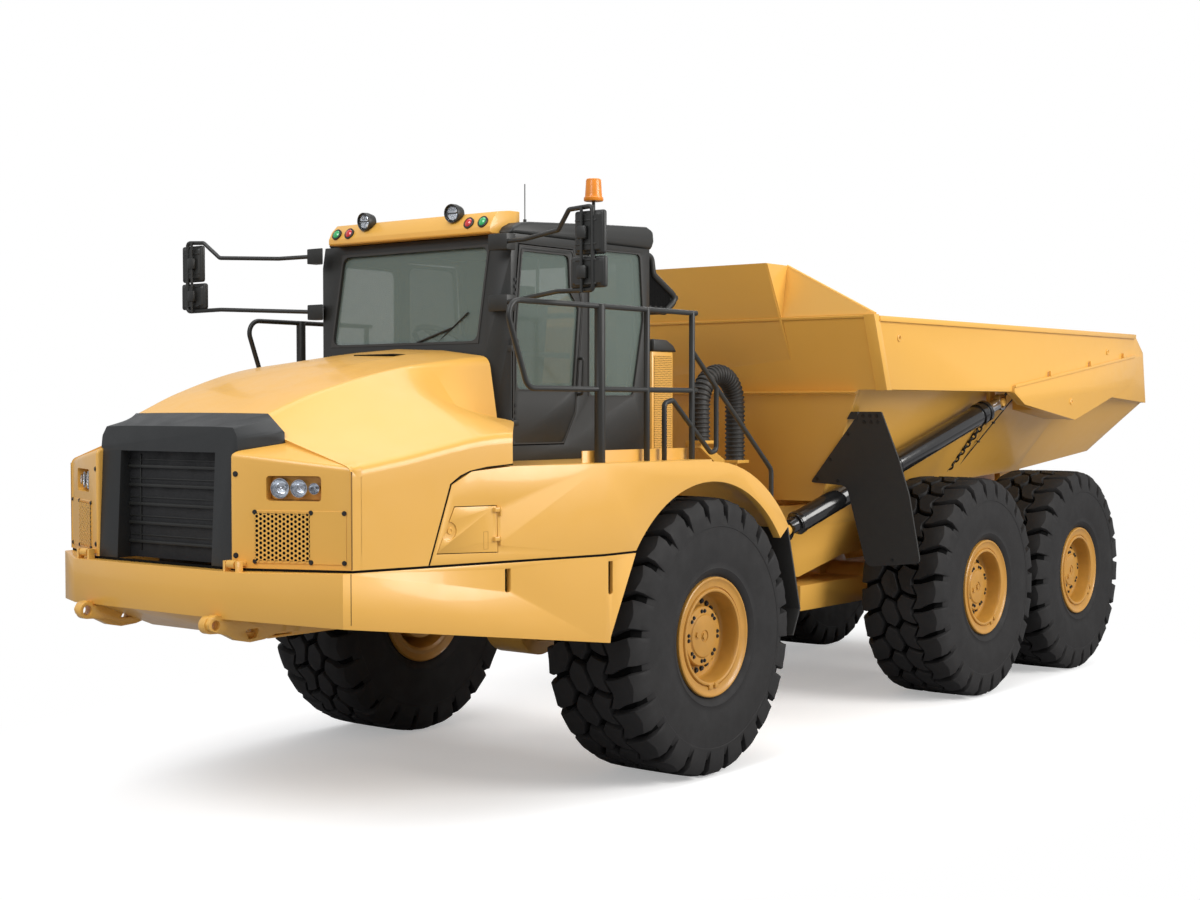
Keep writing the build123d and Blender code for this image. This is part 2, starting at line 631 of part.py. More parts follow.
flap_hinge_station = flap_outline[1][0] - flap_gap - 12.0
flap_hinge_y = taper_y(flap_hinge_station) + 9.0
with BuildPart() as fender_left:
    add(fender_form.part)
    side_prism(flap_outline, 1300.0, 1700.0, Mode.SUBTRACT)
    for ear_z in (1680.0, 1850.0):
        block((flap_hinge_station - 6.0, flap_hinge_station + 6.0),
              (taper_y(flap_hinge_station) - 4.0, flap_hinge_y + 6.0), (ear_z - 12.0, ear_z + 12.0))
        rod(at(flap_hinge_station, flap_hinge_y, ear_z), at(flap_hinge_station, flap_hinge_y, ear_z + 40.0), 4.0)
save(fender_left, "fender_left")

with BuildPart() as filler_flap:
    body_strip(2400.0, 1950.0, fender_skin, 1600.0, 1930.0)
    flap_cut = [(s + (flap_gap if s < 2100 else -flap_gap), z + (flap_gap if z < 1700 else -flap_gap))
                for s, z in flap_outline]
    side_prism(flap_cut, 1300.0, 1700.0, Mode.INTERSECT)
    for ear_z in (1680.0, 1850.0):
        block((flap_hinge_station, flap_hinge_station + 45.0),
              (taper_y(flap_hinge_station) + 1.5, taper_y(flap_hinge_station) + 9.0), (ear_z + 14.0, ear_z + 38.0))
        block((flap_hinge_station + 27.0, flap_hinge_station + 45.0),
              (taper_y(flap_hinge_station) - 14.0, taper_y(flap_hinge_station) + 9.0), (ear_z + 14.0, ear_z + 38.0))
        rod(at(flap_hinge_station, flap_hinge_y, ear_z + 14.0), at(flap_hinge_station, flap_hinge_y, ear_z + 38.0),
            7.5)
        rod(at(flap_hinge_station, flap_hinge_y, ear_z), at(flap_hinge_station, flap_hinge_y, ear_z + 60.0),
            4.0 + shaft_gap, Mode.SUBTRACT)
save(filler_flap, "filler_flap")

with BuildPart() as front_mudflap:
    side_prism([(-900.6, 1636.5), (-1071.0, 1030.0), (-980.0, 850.0), (-992.0, 844.0), (-1086.0, 1030.0),
                (-914.0, 1645.0)], 1000.0, 1687.0)
save_pair(front_mudflap, "front_mudflaps")

# ==== cab =========================================================================================
cab_side = [(cab_rear_station, cab_floor_z), (cab_front_station, cab_floor_z), (cab_front_station, cowl_z),
            (windshield_top_station, cab_top_z), (cab_rear_station, cab_top_z)]
cab_plan = both([(cab_front_station, cab_nose_half_width), (cab_front_station - cab_chamfer, cab_half_width),
                 (cab_rear_station, cab_half_width)])
door_outline = [(1122.0, 2225.0), (600.0, 2225.0), (470.0, 2440.0), (395.0, 3160.0), (500.0, 3530.0),
                (1056.0, 3530.0), (1122.0, 2960.0)]
door_window = [(1070.0, 2620.0), (545.0, 2620.0), (472.0, 3150.0), (545.0, 3470.0), (1010.0, 3470.0),
               (1070.0, 2950.0)]
# name: (outline, low width, high width)
side_windows = {
    "rear_left": ([(345.0, 2550.0), (345.0, 3530.0), (-180.0, 3530.0), (-220.0, 2950.0), (-100.0, 2550.0)], 1),
    "rear_right": ([(345.0, 2550.0), (345.0, 3530.0), (-180.0, 3530.0), (-220.0, 2950.0), (-100.0, 2550.0)], -1),
    "front_right": ([(1070.0, 2600.0), (420.0, 2600.0), (420.0, 3480.0), (1010.0, 3480.0), (1070.0, 2950.0)], -1),
}
windshield_half_width = 690.0
windshield_low_z = 2885.0
windshield_high_z = 3530.0
rear_window = ((-620.0, 620.0), (2650.0, 3500.0))
lean = (cab_front_station - windshield_top_station) / (cab_top_z - cowl_z)


with BuildPart() as cab_shell:
    plan_prism(cab_plan, cab_floor_z, cab_top_z)
    side_prism(cab_side, -2000.0, 2000.0, Mode.INTERSECT)
    inner_plan = both([(cab_front_station - cab_wall, cab_nose_half_width - cab_wall / 2),
                       (cab_front_station - cab_chamfer - cab_wall / 2, cab_half_width - cab_wall),
                       (cab_rear_station + cab_wall, cab_half_width - cab_wall)])
    inner_side = [(cab_rear_station + cab_wall, cab_floor_z + cab_wall),
                  (cab_front_station - cab_wall, cab_floor_z + cab_wall), (cab_front_station - cab_wall, cowl_z),
                  (windshield_top_station - cab_wall, cab_top_z), (windshield_top_station - cab_wall, cab_top_z + 1),
                  (cab_rear_station + cab_wall, cab_top_z + 1)]
    with BuildSketch(Plane(origin=at(0, 0, cab_floor_z + cab_wall))) as cabin_floor:
        with BuildLine():
            Polyline(*inner_plan, close=True)
        make_face()
    cabin_space = extrude(cabin_floor.sketch, amount=cab_top_z - cab_floor_z, mode=Mode.PRIVATE)
    with BuildSketch(Plane(origin=at(0, 1000.0, 0), x_dir=(1, 0, 0), z_dir=(0, -1, 0))) as cabin_side:
        with BuildLine():
            Polyline(*inner_side, close=True)
        make_face()
    cabin_slice = extrude(cabin_side.sketch, amount=2000.0, dir=(0, -1, 0), mode=Mode.PRIVATE)
    add(cabin_space & cabin_slice, mode=Mode.SUBTRACT)
    side_prism(door_outline, cab_half_width - cab_wall - 10.0, cab_half_width + 10.0, Mode.SUBTRACT)
    for outline, side in side_windows.values():
        low_y, high_y = sorted((side * (cab_half_width - cab_wall - 10.0), side * (cab_half_width + 10.0)))
        side_prism(outline, low_y, high_y, Mode.SUBTRACT)
    block((1000.0, 1300.0), (-windshield_half_width, windshield_half_width),
          (windshield_low_z, windshield_high_z), Mode.SUBTRACT)
    block((cab_rear_station - 10.0, cab_rear_station + cab_wall + 10.0), rear_window[0], rear_window[1],
          Mode.SUBTRACT)
    door_axis_station = door_outline[0][0] + door_gap + 8.0
    door_axis_y = cab_half_width + 14.0
    for ear_z in (2330.0, 2850.0):
        block((door_axis_station - 8.0, door_axis_station + 8.0), (cab_half_width - 30.0, door_axis_y + 6.0),
              (ear_z - 20.0, ear_z + 20.0))
        rod(at(door_axis_station, door_axis_y, ear_z), at(door_axis_station, door_axis_y, ear_z + 70.0), 6.0)
save(cab_shell, "cab_shell")

with BuildPart() as cab_glass:
    pane_set = 20.0
    fit = seam_gap
    for outline, side in side_windows.values():
        low_y, high_y = sorted((side * (cab_half_width - pane_set - pane_thickness),
                                side * (cab_half_width - pane_set)))
        side_prism(outline, low_y, high_y, inset=fit)
    screen_low = windshield_low_z + fit
    screen_high = windshield_high_z - fit
    screen_stations = [cab_front_station - lean * (z - cowl_z) - pane_set for z in (screen_low, screen_high)]
    side_prism([(screen_stations[0], screen_low), (screen_stations[1], screen_high),
                (screen_stations[1] - pane_thickness, screen_high), (screen_stations[0] - pane_thickness, screen_low)],
               -windshield_half_width + fit, windshield_half_width - fit)
    block((cab_rear_station + pane_set, cab_rear_station + pane_set + pane_thickness),
          (rear_window[0][0] + fit, rear_window[0][1] - fit), (rear_window[1][0] + fit, rear_window[1][1] - fit))
save(cab_glass, "cab_glass")

with BuildPart() as cab_door:
    side_prism(door_outline, cab_half_width - door_thickness, cab_half_width, inset=door_gap)
    side_prism(door_window, cab_half_width - door_thickness - 5.0, cab_half_width + 5.0, Mode.SUBTRACT)
    for ear_z in (2330.0, 2850.0):
        block((door_axis_station - 62.0, door_axis_station), (cab_half_width + 2.0, door_axis_y + 6.0),
              (ear_z + 25.0, ear_z + 60.0))
        block((door_axis_station - 62.0, door_axis_station - 26.0), (cab_half_width - 4.0, door_axis_y + 6.0),
              (ear_z + 25.0, ear_z + 60.0))
        rod(at(door_axis_station, door_axis_y, ear_z + 25.0), at(door_axis_station, door_axis_y, ear_z + 60.0),
            11.0)
        rod(at(door_axis_station, door_axis_y, ear_z), at(door_axis_station, door_axis_y, ear_z + 80.0),
            6.0 + shaft_gap, Mode.SUBTRACT)
save(cab_door, "cab_door")

with BuildPart() as door_glass:
    side_prism(door_window, cab_half_width - 25.0, cab_half_width - 25.0 + pane_thickness, inset=seam_gap)
save(door_glass, "door_glass")

cap_half_width = 755.0
cap_rear_station = -250.0
lamp_pocket_z = 3678.0
with BuildPart() as cab_roof:
    side_prism([(cab_rear_station - 60.0, cab_top_z + seam_gap), (windshield_top_station, cab_top_z + seam_gap),
                (windshield_top_station - 20.0, 3670.0), (cab_rear_station + 40.0, 3700.0),
                (cab_rear_station - 60.0, 3670.0)], -cab_half_width + 15.0, cab_half_width - 15.0)
    side_prism([(windshield_top_station - 10.0, 3598.0), (1190.0, 3598.0), (1190.0, 3640.0), (1120.0, 3738.0),
                (700.0, 3752.0), (cap_rear_station, 3752.0), (cap_rear_station, 3660.0),
                (windshield_top_station - 20.0, 3650.0)], -cap_half_width, cap_half_width)
    for side in (1, -1):
        block((1090.0, 1300.0), (side * 350.0, side * 470.0), (lamp_pocket_z, 3800.0), Mode.SUBTRACT)
    rod(at(900.0, 800.0, 3660.0), at(900.0, 800.0, 3930.0), 4.0)
save(cab_roof, "cab_roof")

with BuildPart() as roof_lamps:
    for side in (1, -1):
        rod(at(1100.0, side * 410.0, 3745.0), at(1185.0, side * 410.0, 3745.0), 56.0)
        block((1110.0, 1150.0), (side * 395.0, side * 425.0), (lamp_pocket_z + seam_gap, 3700.0))
        for marker_y in (545.0, 680.0):
            rod(at(1190.0 + seam_gap, side * marker_y, 3620.0), at(1205.0, side * marker_y, 3620.0), 20.0)
    rod(at(-130.0, 550.0, 3752.0 + seam_gap), at(-130.0, 550.0, 3945.0), 12.0)
    rod(at(-130.0, 550.0, 3940.0), at(-130.0, 550.0, 3955.0), 58.0)
    rod(at(-130.0, 550.0, 3955.0), at(-130.0, 550.0, 4085.0), 50.0)
save(roof_lamps, "roof_lamps")

guard_half_width = 790.0
with BuildPart() as rear_guard:
    guard_outline = [(cab_rear_station - seam_gap, 3560.0), (cab_rear_station - 55.0, 3560.0), (-700.0, 3265.0),
                     (-585.0, 3170.0), (cab_rear_station - seam_gap, 3110.0)]
    side_prism(guard_outline, -guard_half_width, guard_half_width)
    side_prism([(-250.0, 3522.0), (-412.0, 3522.0), (-652.0, 3262.0), (-575.0, 3205.0), (-250.0, 3145.0)],
               -guard_half_width + 30.0, guard_half_width - 30.0, Mode.SUBTRACT)
save(rear_guard, "rear_guard")

with BuildPart() as cab_interior:
    block((150.0, 620.0), (-240.0, 240.0), (cab_floor_z + cab_wall + seam_gap, 2420.0))
    block((120.0, 640.0), (-260.0, 260.0), (2420.0, 2560.0))
    side_prism([(240.0, 2550.0), (90.0, 2550.0), (20.0, 3200.0), (130.0, 3200.0)], -250.0, 250.0)
    block((20.0, 120.0), (-130.0, 130.0), (3195.0, 3340.0))
    side_prism([(cab_front_station - cab_wall - 3.0, cab_floor_z + cab_wall + seam_gap),
                (cab_front_station - cab_wall - 3.0, 2820.0), (1000.0, 2860.0), (900.0, 2740.0), (1060.0, 2600.0),
                (1060.0, cab_floor_z + cab_wall + seam_gap)], -650.0, 650.0)
    rod(at(960.0, 0.0, 2700.0), at(841.0, 0.0, 2916.0), 30.0)
    with BuildSketch(Plane(origin=at(840.0, 0.0, 2918.0), z_dir=(-110.0, 0.0, 200.0))) as wheel_ring:
        Circle(215.0)
        Circle(190.0, mode=Mode.SUBTRACT)
        Rectangle(400.0, 40.0)
    extrude(wheel_ring.sketch, amount=15.0, both=True)
save(cab_interior, "cab_interior")

with BuildPart() as intake_box:
    block((-610.0, cab_rear_station - 6.0), (480.0, 900.0), (2070.0, 2880.0))
    side_prism([(-640.0, 2880.0), (-600.0, 2955.0), (cab_rear_station - 6.0, 2955.0),
                (cab_rear_station - 6.0, 2880.0)], 460.0, 915.0)
    block((cab_rear_station - 10.0, cab_rear_station - seam_gap), (500.0, 860.0), (2200.0, 2800.0))
    block((-610.0, cab_rear_station - 6.0), (500.0, 560.0), (rail_top_z + seam_gap, 2075.0))
save(intake_box, "intake_box")

# ==== mirrors and rails ===========================================================================
mirror_station = 1525.0
mirror_post_y = 1850.0
mirror_head_y = 1760.0
with BuildPart() as mirror_stand:
    pipe([at(1190.0, 880.0, 3530.0), at(1300.0, 1150.0, 3520.0), at(1480.0, 1560.0, 3535.0),
          at(mirror_station, 1700.0, 3700.0), at(mirror_station, mirror_post_y, 3712.0),
          at(mirror_station, mirror_post_y, 3180.0), at(1480.0, 1560.0, 3175.0), at(1190.0, 880.0, 3140.0)], 14.0, 30.0)
    bracket_rear = door_axis_station + swing_gap
    bracket_front = cab_front_station - 10.0
    chamfer_slope = (cab_half_width - cab_nose_half_width) / cab_chamfer
    bracket_seat = [(s, cab_half_width - chamfer_slope * (s - cab_front_station + cab_chamfer) + seam_gap)
                    for s in (bracket_rear, bracket_front)]
    for arm_z in (3530.0, 3140.0):
        plan_prism(bracket_seat + [(bracket_front, cab_half_width + 55.0), (bracket_rear, cab_half_width + 55.0)],
                   arm_z - 55.0, arm_z + 50.0)
    rod(at(mirror_station, mirror_head_y, 3180.0), at(mirror_station, mirror_head_y, 3706.0), 12.0)
    for low_z, high_z, half in ((3400.0, 3640.0, 105.0), (3200.0, 3370.0, 110.0)):
        block((mirror_station - 45.0, mirror_station + 45.0), (mirror_head_y - half, mirror_head_y + half - 30.0),
              (low_z, high_z))
save_pair(mirror_stand, "mirrors")

rail_y = 1550.0
rail_radius = 17.0
deck_foot = deck_top_z + seam_gap
with BuildPart() as handrails:
    pipe([at(22.0, rail_y, 3100.0), at(1950.0, rail_y, 3100.0), at(1740.0, rail_y, 2585.0),
          at(22.0, rail_y, 2585.0)], rail_radius, 90.0)
    for post_station, post_radius in ((1056.0, 34.0), (570.0, 20.0), (70.0, 20.0)):
        rod(at(post_station, rail_y, deck_foot), at(post_station, rail_y, 3112.0), post_radius)
    pipe([at(70.0, rail_y, 2850.0), at(-905.0, rail_y, 2030.0), at(-905.0, rail_y, 1652.5)], rail_radius, 60.0)
    pipe([at(380.0, rail_y, deck_foot), at(380.0, rail_y, 2500.0), at(290.0, rail_y, 2520.0),
          at(-150.0, rail_y, 2165.0), at(-215.0, rail_y, 2180.0), at(-215.0, rail_y, 2610.0)], rail_radius, 35.0)
    pipe([at(22.0, -rail_y, 3100.0), at(1270.0, -rail_y, 3100.0), at(1080.0, -rail_y, 2585.0),
          at(22.0, -rail_y, 2585.0)], rail_radius, 90.0)
    for post_station, post_radius in ((740.0, 34.0), (70.0, 20.0)):
        rod(at(post_station, -rail_y, deck_foot), at(post_station, -rail_y, 3112.0), post_radius)
save(handrails, "handrails")

# ==== hitch and rear frame ========================================================================
with BuildPart() as hitch:
    barrel_low_z = hitch_lower_lug_z + hitch_lug_thickness + swing_gap
    barrel_high_z = hitch_upper_lug_z - swing_gap
    rod(at(hitch_station, 0, barrel_low_z), at(hitch_station, 0, barrel_high_z), hitch_lug_radius)
    rod(at(hitch_station, 0, hitch_lower_lug_z), at(hitch_station, 0, hitch_upper_lug_z + hitch_lug_thickness + 20.0),
        hitch_pin_radius)
    rod(at(hitch_station, 0, oscillation_z), at(oscillation_end_station, 0, oscillation_z), oscillation_radius)
    rod(at(hitch_station, 0, oscillation_z), at(rear_ring_front_station + 8.0, 0, oscillation_z), 175.0)
save(hitch, "hitch")

hose_y = 600.0
hose_front = at(-1370.0, hose_y, 2220.0)
hose_rear = at(-1850.0, hose_y, 2060.0)
with BuildPart() as rear_frame:
    rail_side = [(-1830.0, 1130.0), (-1830.0, 1440.0), (-2000.0, 1600.0), (-2500.0, rear_rail_top_z),
                 (rear_rail_rear_station, rear_rail_top_z), (rear_rail_rear_station, 1380.0), (-3500.0, 1200.0),
                 (-2800.0, 1060.0)]
    for side in (1, -1):
        low_y, high_y = sorted((side * rear_rail_inner_y, side * rear_rail_outer_y))
        side_prism(rail_side, low_y, high_y)
    for cross_station, cross_low, cross_high in ((-2250.0, 1130.0, 1500.0), (-3600.0, 1300.0, 1560.0),
                                                 (-5100.0, 1330.0, 1600.0), (-6500.0, 1400.0, 1600.0)):
        block((cross_station - 150.0, cross_station), (-rear_rail_inner_y, rear_rail_inner_y),
              (cross_low, cross_high))
    rod(at(rear_ring_front_station, 0, oscillation_z), at(-2100.0, 0, oscillation_z), rear_ring_radius)
    block((-2100.0, -1900.0), (-rear_rail_inner_y, rear_rail_inner_y), (1000.0, 1240.0))
    rod(at(rear_ring_front_station + 1.0, 0, oscillation_z), at(-2160.0, 0, oscillation_z),
        oscillation_radius + shaft_gap, Mode.SUBTRACT)
    cross_bar(hoist_foot_station, hoist_foot_z, -880.0, 880.0, 60.0)
    side_prism([(-1860.0, 1420.0), (-2060.0, 1560.0), (-1940.0, 2020.0), (-1930.0, 2060.0 - seam_gap),
                (-1770.0, 2060.0 - seam_gap), (-1450.0, 2220.0 - seam_gap), (-1290.0, 2220.0 - seam_gap),
                (-1290.0, 2170.0), (-1440.0, 2160.0), (-1780.0, 1960.0)], 520.0, 560.0)
    for clamp, top in ((-1850.0, 2060.0), (-1370.0, 2220.0)):
        block((clamp - 80.0, clamp + 80.0), (520.0, 680.0), (top - 24.0, top - seam_gap))
    for side in (1, -1):
        cross_bar(hoist_foot_station, hoist_foot_z, side * 870.0, side * (hoist_foot_y + 50.0), 28.0)
        with Locations(at(hoist_foot_station, side * hoist_foot_y, hoist_foot_z)):
            Sphere(hoist_ball_radius)
        block((-5300.0, -4830.0), (side * 590.0, side * 640.0), (1000.0, 1500.0))
        cross_bar(bed_pivot_station, bed_pivot_z, side * 440.0, side * 620.0, bed_pivot_radius + shaft_gap,
                  Mode.SUBTRACT)
save(rear_frame, "rear_frame")

with BuildPart() as hose:
    with BuildLine() as hose_line:
        Line(hose_front, at(-1370.0, hose_y, 2490.0))
        ThreePointArc(at(-1370.0, hose_y, 2490.0), at(-1610.0, hose_y, 2730.0), at(-1850.0, hose_y, 2490.0))
        Line(at(-1850.0, hose_y, 2490.0), hose_rear)
    with BuildSketch(Plane(origin=hose_front)):
        Circle(80.0)
    sweep(path=hose_line.line)
save(hose, "hose")

bogie_station = (mid_axle_station + rear_axle_station) / 2
with BuildPart() as rear_axles:
    for station in (mid_axle_station, rear_axle_station):
        axle_beam(station)
        cross_bar(station, tyre_radius, -180.0, 180.0, 260.0)
    block((mid_axle_station + 100.0, -2830.0), (-600.0, 600.0), (770.0, 980.0))
    rod(at(mid_axle_station - 200.0, 0, 1000.0), at(rear_axle_station + 200.0, 0, 1000.0), 55.0)
    for side in (1, -1):
        low_y, high_y = sorted((side * (beam_y - beam_half_width), side * (beam_y + beam_half_width)))
        side_prism([(mid_axle_station + 150.0, 820.0), (mid_axle_station + 150.0, 1060.0),
                    (bogie_station + 250.0, 1180.0), (bogie_station - 250.0, 1180.0),
                    (rear_axle_station - 150.0, 1060.0), (rear_axle_station - 150.0, 820.0),
                    (bogie_station, 900.0)], low_y, high_y)
        cross_bar(bogie_station, 1080.0, side * (640.0 + seam_gap), side * beam_y, 90.0)
save(rear_axles, "rear_axles")

# ==== bed =========================================================================================
# station, floor height, knee width, ledge width, band height, top height
bed_sections = (
    (-1900.0, 1687.0, 925.0, 1500.0, 2610.0, 3165.0),
    (-4400.0, 1775.0, 925.0, 1500.0, 2610.0, 3178.0),
    (-6200.0, 1860.0, 945.0, 1520.0, 2600.0, 3190.0),
    (-7600.0, 2050.0, 1190.0, 1710.0, 2518.0, 3198.0),
)


def bed_loft(outline_of):
    """Ruled loft of one outline per bed section, in the part being built."""
    faces = []
    for row in bed_sections:
        with BuildSketch(Plane(origin=at(row[0], 0, 0), x_dir=(0, 1, 0), z_dir=(1, 0, 0))) as section:
            with BuildLine():
                Polyline(*outline_of(*row[1:]), close=True)
            make_face()
        faces.append(section.sketch.faces()[0])
    loft(faces, ruled=True)


def side_outline(floor_z, knee_y, ledge_y, band_z, top_z):
    """Cross section of the left bed side."""
    return [(bed_floor_y, floor_z), (knee_y, floor_z), (ledge_y, band_z), (bed_band_y, band_z),
            (bed_top_y, top_z), (bed_top_y - 85.0, top_z), (ledge_y - bed_plate, band_z + 12.0),
            (knee_y - 6.0, floor_z + bed_plate), (bed_floor_y, floor_z + bed_plate)]


def floor_outline(floor_z, knee_y, ledge_y, band_z, top_z):
    """Cross section of the bed floor."""
    return [(-bed_floor_y, floor_z), (bed_floor_y, floor_z), (bed_floor_y, floor_z + bed_plate),
            (-bed_floor_y, floor_z + bed_plate)]


front_line = [(bed_front_top_station, bed_front_top_z), (bed_front_foot_station, bed_front_foot_z)]
front_slope = (front_line[0][0] - front_line[1][0]) / (front_line[0][1] - front_line[1][1])


def front_face(height, setback=0.0):
    """Station of the bed's front wall at a height."""
    return bed_front_top_station - front_slope * (bed_front_top_z - height) - setback


ahead_of_front = [(front_face(1500.0, bed_front_step), 1500.0), (front_face(3400.0, bed_front_step), 3400.0),
                  (0.0, 3400.0), (0.0, 1500.0)]
tail_line = [(-7150.0, 3400.0), (-7150.0, 3192.0), (-7390.0, 3020.0), (-tail_reach, 2523.0), (-7450.0, 1990.0),
             (-7430.0, 1800.0)]
behind_tail = tail_line + [(-7900.0, 1800.0), (-7900.0, 3400.0)]

with BuildPart() as bed_floor:
    bed_loft(floor_outline)
    side_prism(ahead_of_front, -2000.0, 2000.0, Mode.SUBTRACT)
    side_prism(behind_tail, -2000.0, 2000.0, Mode.SUBTRACT)
    for side in (1, -1):
        low_y, high_y = sorted((side * 300.0, side * 420.0))
        side_prism([(-2800.0, 1740.0), (-2800.0, 1690.0), (-3000.0, 1610.0), (-6800.0, 1610.0), (-7100.0, 1980.0),
                    (-6200.0, 1880.0)], low_y, high_y)
        low_y, high_y = sorted((side * (rear_rail_outer_y + swing_gap), side * (rear_rail_outer_y + 66.0)))
        side_prism([(-6480.0, 1895.0), (-6480.0, 1600.0), (bed_pivot_station + 80.0, bed_pivot_z - 80.0),
                    (bed_pivot_station - 80.0, bed_pivot_z - 80.0), (-6900.0, 1700.0), (-6950.0, 1965.0)],
                   low_y, high_y)
        cross_bar(bed_pivot_station, bed_pivot_z, side * 450.0, side * (rear_rail_outer_y + 66.0), bed_pivot_radius)
save(bed_floor, "bed_floor")

panel_outline = [(-4420.0, 2660.0), (-4420.0, 2600.0), (-4630.0, 2500.0), (-5710.0, 2360.0), (-7030.0, 2680.0),
                 (-7365.0, 2980.0), (-7150.0, 2985.0)]
with BuildPart() as bed_side_left:
    bed_loft(side_outline)
    side_prism(panel_outline, 1700.0, bed_top_y)
    side_prism([(-5030.0, 2620.0), (-5030.0, 2455.0), (-5710.0, 2365.0), (-7030.0, 2684.0), (-6900.0, 2720.0)],
               1470.0, 1705.0)
    side_prism([(front_face(3120.0, bed_front_step), 3125.0), (front_face(3120.0, bed_front_step), 3165.0),
                (-7140.0, 3192.0), (-7140.0, 3152.0)], 1685.0, 1795.0)
    side_prism(ahead_of_front, -2000.0, 2000.0, Mode.SUBTRACT)
    side_prism(behind_tail, -2000.0, 2000.0, Mode.SUBTRACT)
    side_prism([(-4440.0, 2620.0), (-4440.0, 2500.0), (-4470.0, 2455.0), (-4530.0, 2455.0), (-4560.0, 2500.0),
                (-4560.0, 2620.0)], 1500.0, 1526.0)
    cross_bar(hoist_eye_station, hoist_eye_z, 1510.0, 1640.0, hoist_pin_radius)
    rod(at(-4700.0, 1600.0, 2625.0), at(-4700.0, 1600.0, 2560.0), 22.0)
    rod(at(-4700.0, 1605.0, 2580.0), at(-4700.0, 1000.0, 1895.0), 14.0)
save(bed_side_left, "bed_side_left")
save_mirrored(bed_side_left, "bed_side_right")

with BuildPart() as front_wall:
    side_prism([front_line[0], front_line[1], (front_face(bed_front_foot_z, bed_front_step), bed_front_foot_z),
                (front_face(bed_front_top_z, bed_front_step), bed_front_top_z)], -bed_top_y, bed_top_y)
    front_prism(section_of([(0.0, 1600.0), (915.0, 1600.0), (925.0, 1703.5), (1500.0, 2610.0), (bed_band_y, 2610.0),
                            (bed_top_y, 3165.0), (0.0, 3300.0)]), -3000.0, -1500.0,
                Mode.INTERSECT)
    side_prism([(front_face(2600.0), 2600.0), (front_face(2600.0) + 60.0, 2590.0), (front_face(2570.0), 2570.0)],
               -1490.0, 1490.0)
headboard_lean = (headboard_top_station - bed_front_top_station) / (headboard_top_z - bed_front_top_z)
board_plan = section_of([(0.0, bed_front_top_z), (bed_top_y, bed_front_top_z), (bed_top_y, bed_front_top_z + 8.0),
                         (headboard_half_width, headboard_top_z), (0.0, headboard_top_z)])
shelf_plan = section_of([(0.0, headboard_top_z - 25.0), (headboard_half_width - 6.0, headboard_top_z - 25.0),
                         (bed_top_y - 40.0, bed_front_top_z + 1.0), (bed_top_y, bed_front_top_z + 8.0),
                         (headboard_half_width, headboard_top_z), (0.0, headboard_top_z)])
with BuildPart() as headboard:
    side_prism([(bed_front_top_station, bed_front_top_z), (headboard_top_station, headboard_top_z),
                (headboard_top_station - 34.0, headboard_top_z), (bed_front_top_station - 34.0, bed_front_top_z)],
               -bed_top_y, bed_top_y)
    front_prism(board_plan, -3000.0, -1000.0, Mode.INTERSECT)
with BuildPart() as shelf:
    front_prism(shelf_plan, bed_front_top_station - 39.0, headboard_top_station)
    side_prism([(bed_front_top_station, bed_front_top_z), (headboard_top_station, headboard_top_z),
                (-2100.0, headboard_top_z), (-2100.0, bed_front_top_z)], -bed_top_y, bed_top_y, Mode.INTERSECT)
with BuildPart() as bed_front:
    add(front_wall.part)
    add(headboard.part)
    add(shelf.part)
    for side in (1, -1):
        low_y, high_y = sorted((side * (headboard_half_width - 12.0), side * (headboard_half_width + 12.0)))
        side_prism([(headboard_top_station - 4.0, headboard_top_z - 12.0), (front_face(2850.0) + 2.0, 2850.0),
                    (front_face(2850.0) - 20.0, 2860.0), (bed_front_top_station - 20.0, bed_front_top_z),
                    (headboard_top_station - 24.0, headboard_top_z - 12.0)], low_y, high_y)
save(bed_front, "bed_front")

flap_lean = 0.41
flap_top_z = 2446.0
flap_plane = Plane(origin=at(-2300.0, 0, flap_top_z), x_dir=(0, 1, 0), z_dir=(1, 0, -flap_lean))
flap_stretch = (1.0 + flap_lean**2) ** 0.5
flap_shape = [(1445.0, 2446.0), (1090.0, 1890.0), (1240.0, 1868.0), (1240.0, 1215.0), (1720.0, 1215.0),
              (1700.0, 2446.0)]
with BuildPart() as bed_mudflap:
    with BuildSketch(flap_plane) as flap_sheet:
        with BuildLine():
            Polyline(*[(y, (z - flap_top_z) * flap_stretch) for y, z in flap_shape], close=True)
        make_face()
    extrude(flap_sheet.sketch, amount=-16.0)
    front_prism([(1354.6, 2380.0), (1450.0, 2380.0), (1450.0, 2440.0), (1392.7, 2440.0)], -2420.0, -2300.0)
save_pair(bed_mudflap, "bed_mudflaps")

# ==== hoist =======================================================================================
hoist_foot = Vector(*at(hoist_foot_station, hoist_foot_y, hoist_foot_z))
hoist_eye = Vector(*at(hoist_eye_station, hoist_eye_y, hoist_eye_z))
hoist_dir = (hoist_eye - hoist_foot).normalized()
hoist_closed = (hoist_eye - hoist_foot).length


def along(distance):
    """Point on the left hoist cylinder's axis."""
    return hoist_foot + hoist_dir * distance


barrel_mouth = hoist_closed - 200.0
with BuildPart() as hoist_barrel:
    rod(along(120.0), along(barrel_mouth), hoist_barrel_radius)
    rod(along(40.0), along(130.0), 62.0)
    cross_bar(hoist_foot_station, hoist_foot_z, hoist_foot_y - 36.0, hoist_foot_y + 36.0, 84.0)
    with Locations(hoist_foot):
        Sphere(hoist_ball_radius + seam_gap, mode=Mode.SUBTRACT)
    cross_bar(hoist_foot_station, hoist_foot_z, hoist_foot_y - 200.0, hoist_foot_y + 200.0, 40.0, Mode.SUBTRACT)
    rod(along(190.0), along(hoist_closed), hoist_stage_radius + shaft_gap, Mode.SUBTRACT)
save(hoist_barrel, "hoist_barrel_left")
save_mirrored(hoist_barrel, "hoist_barrel_right")

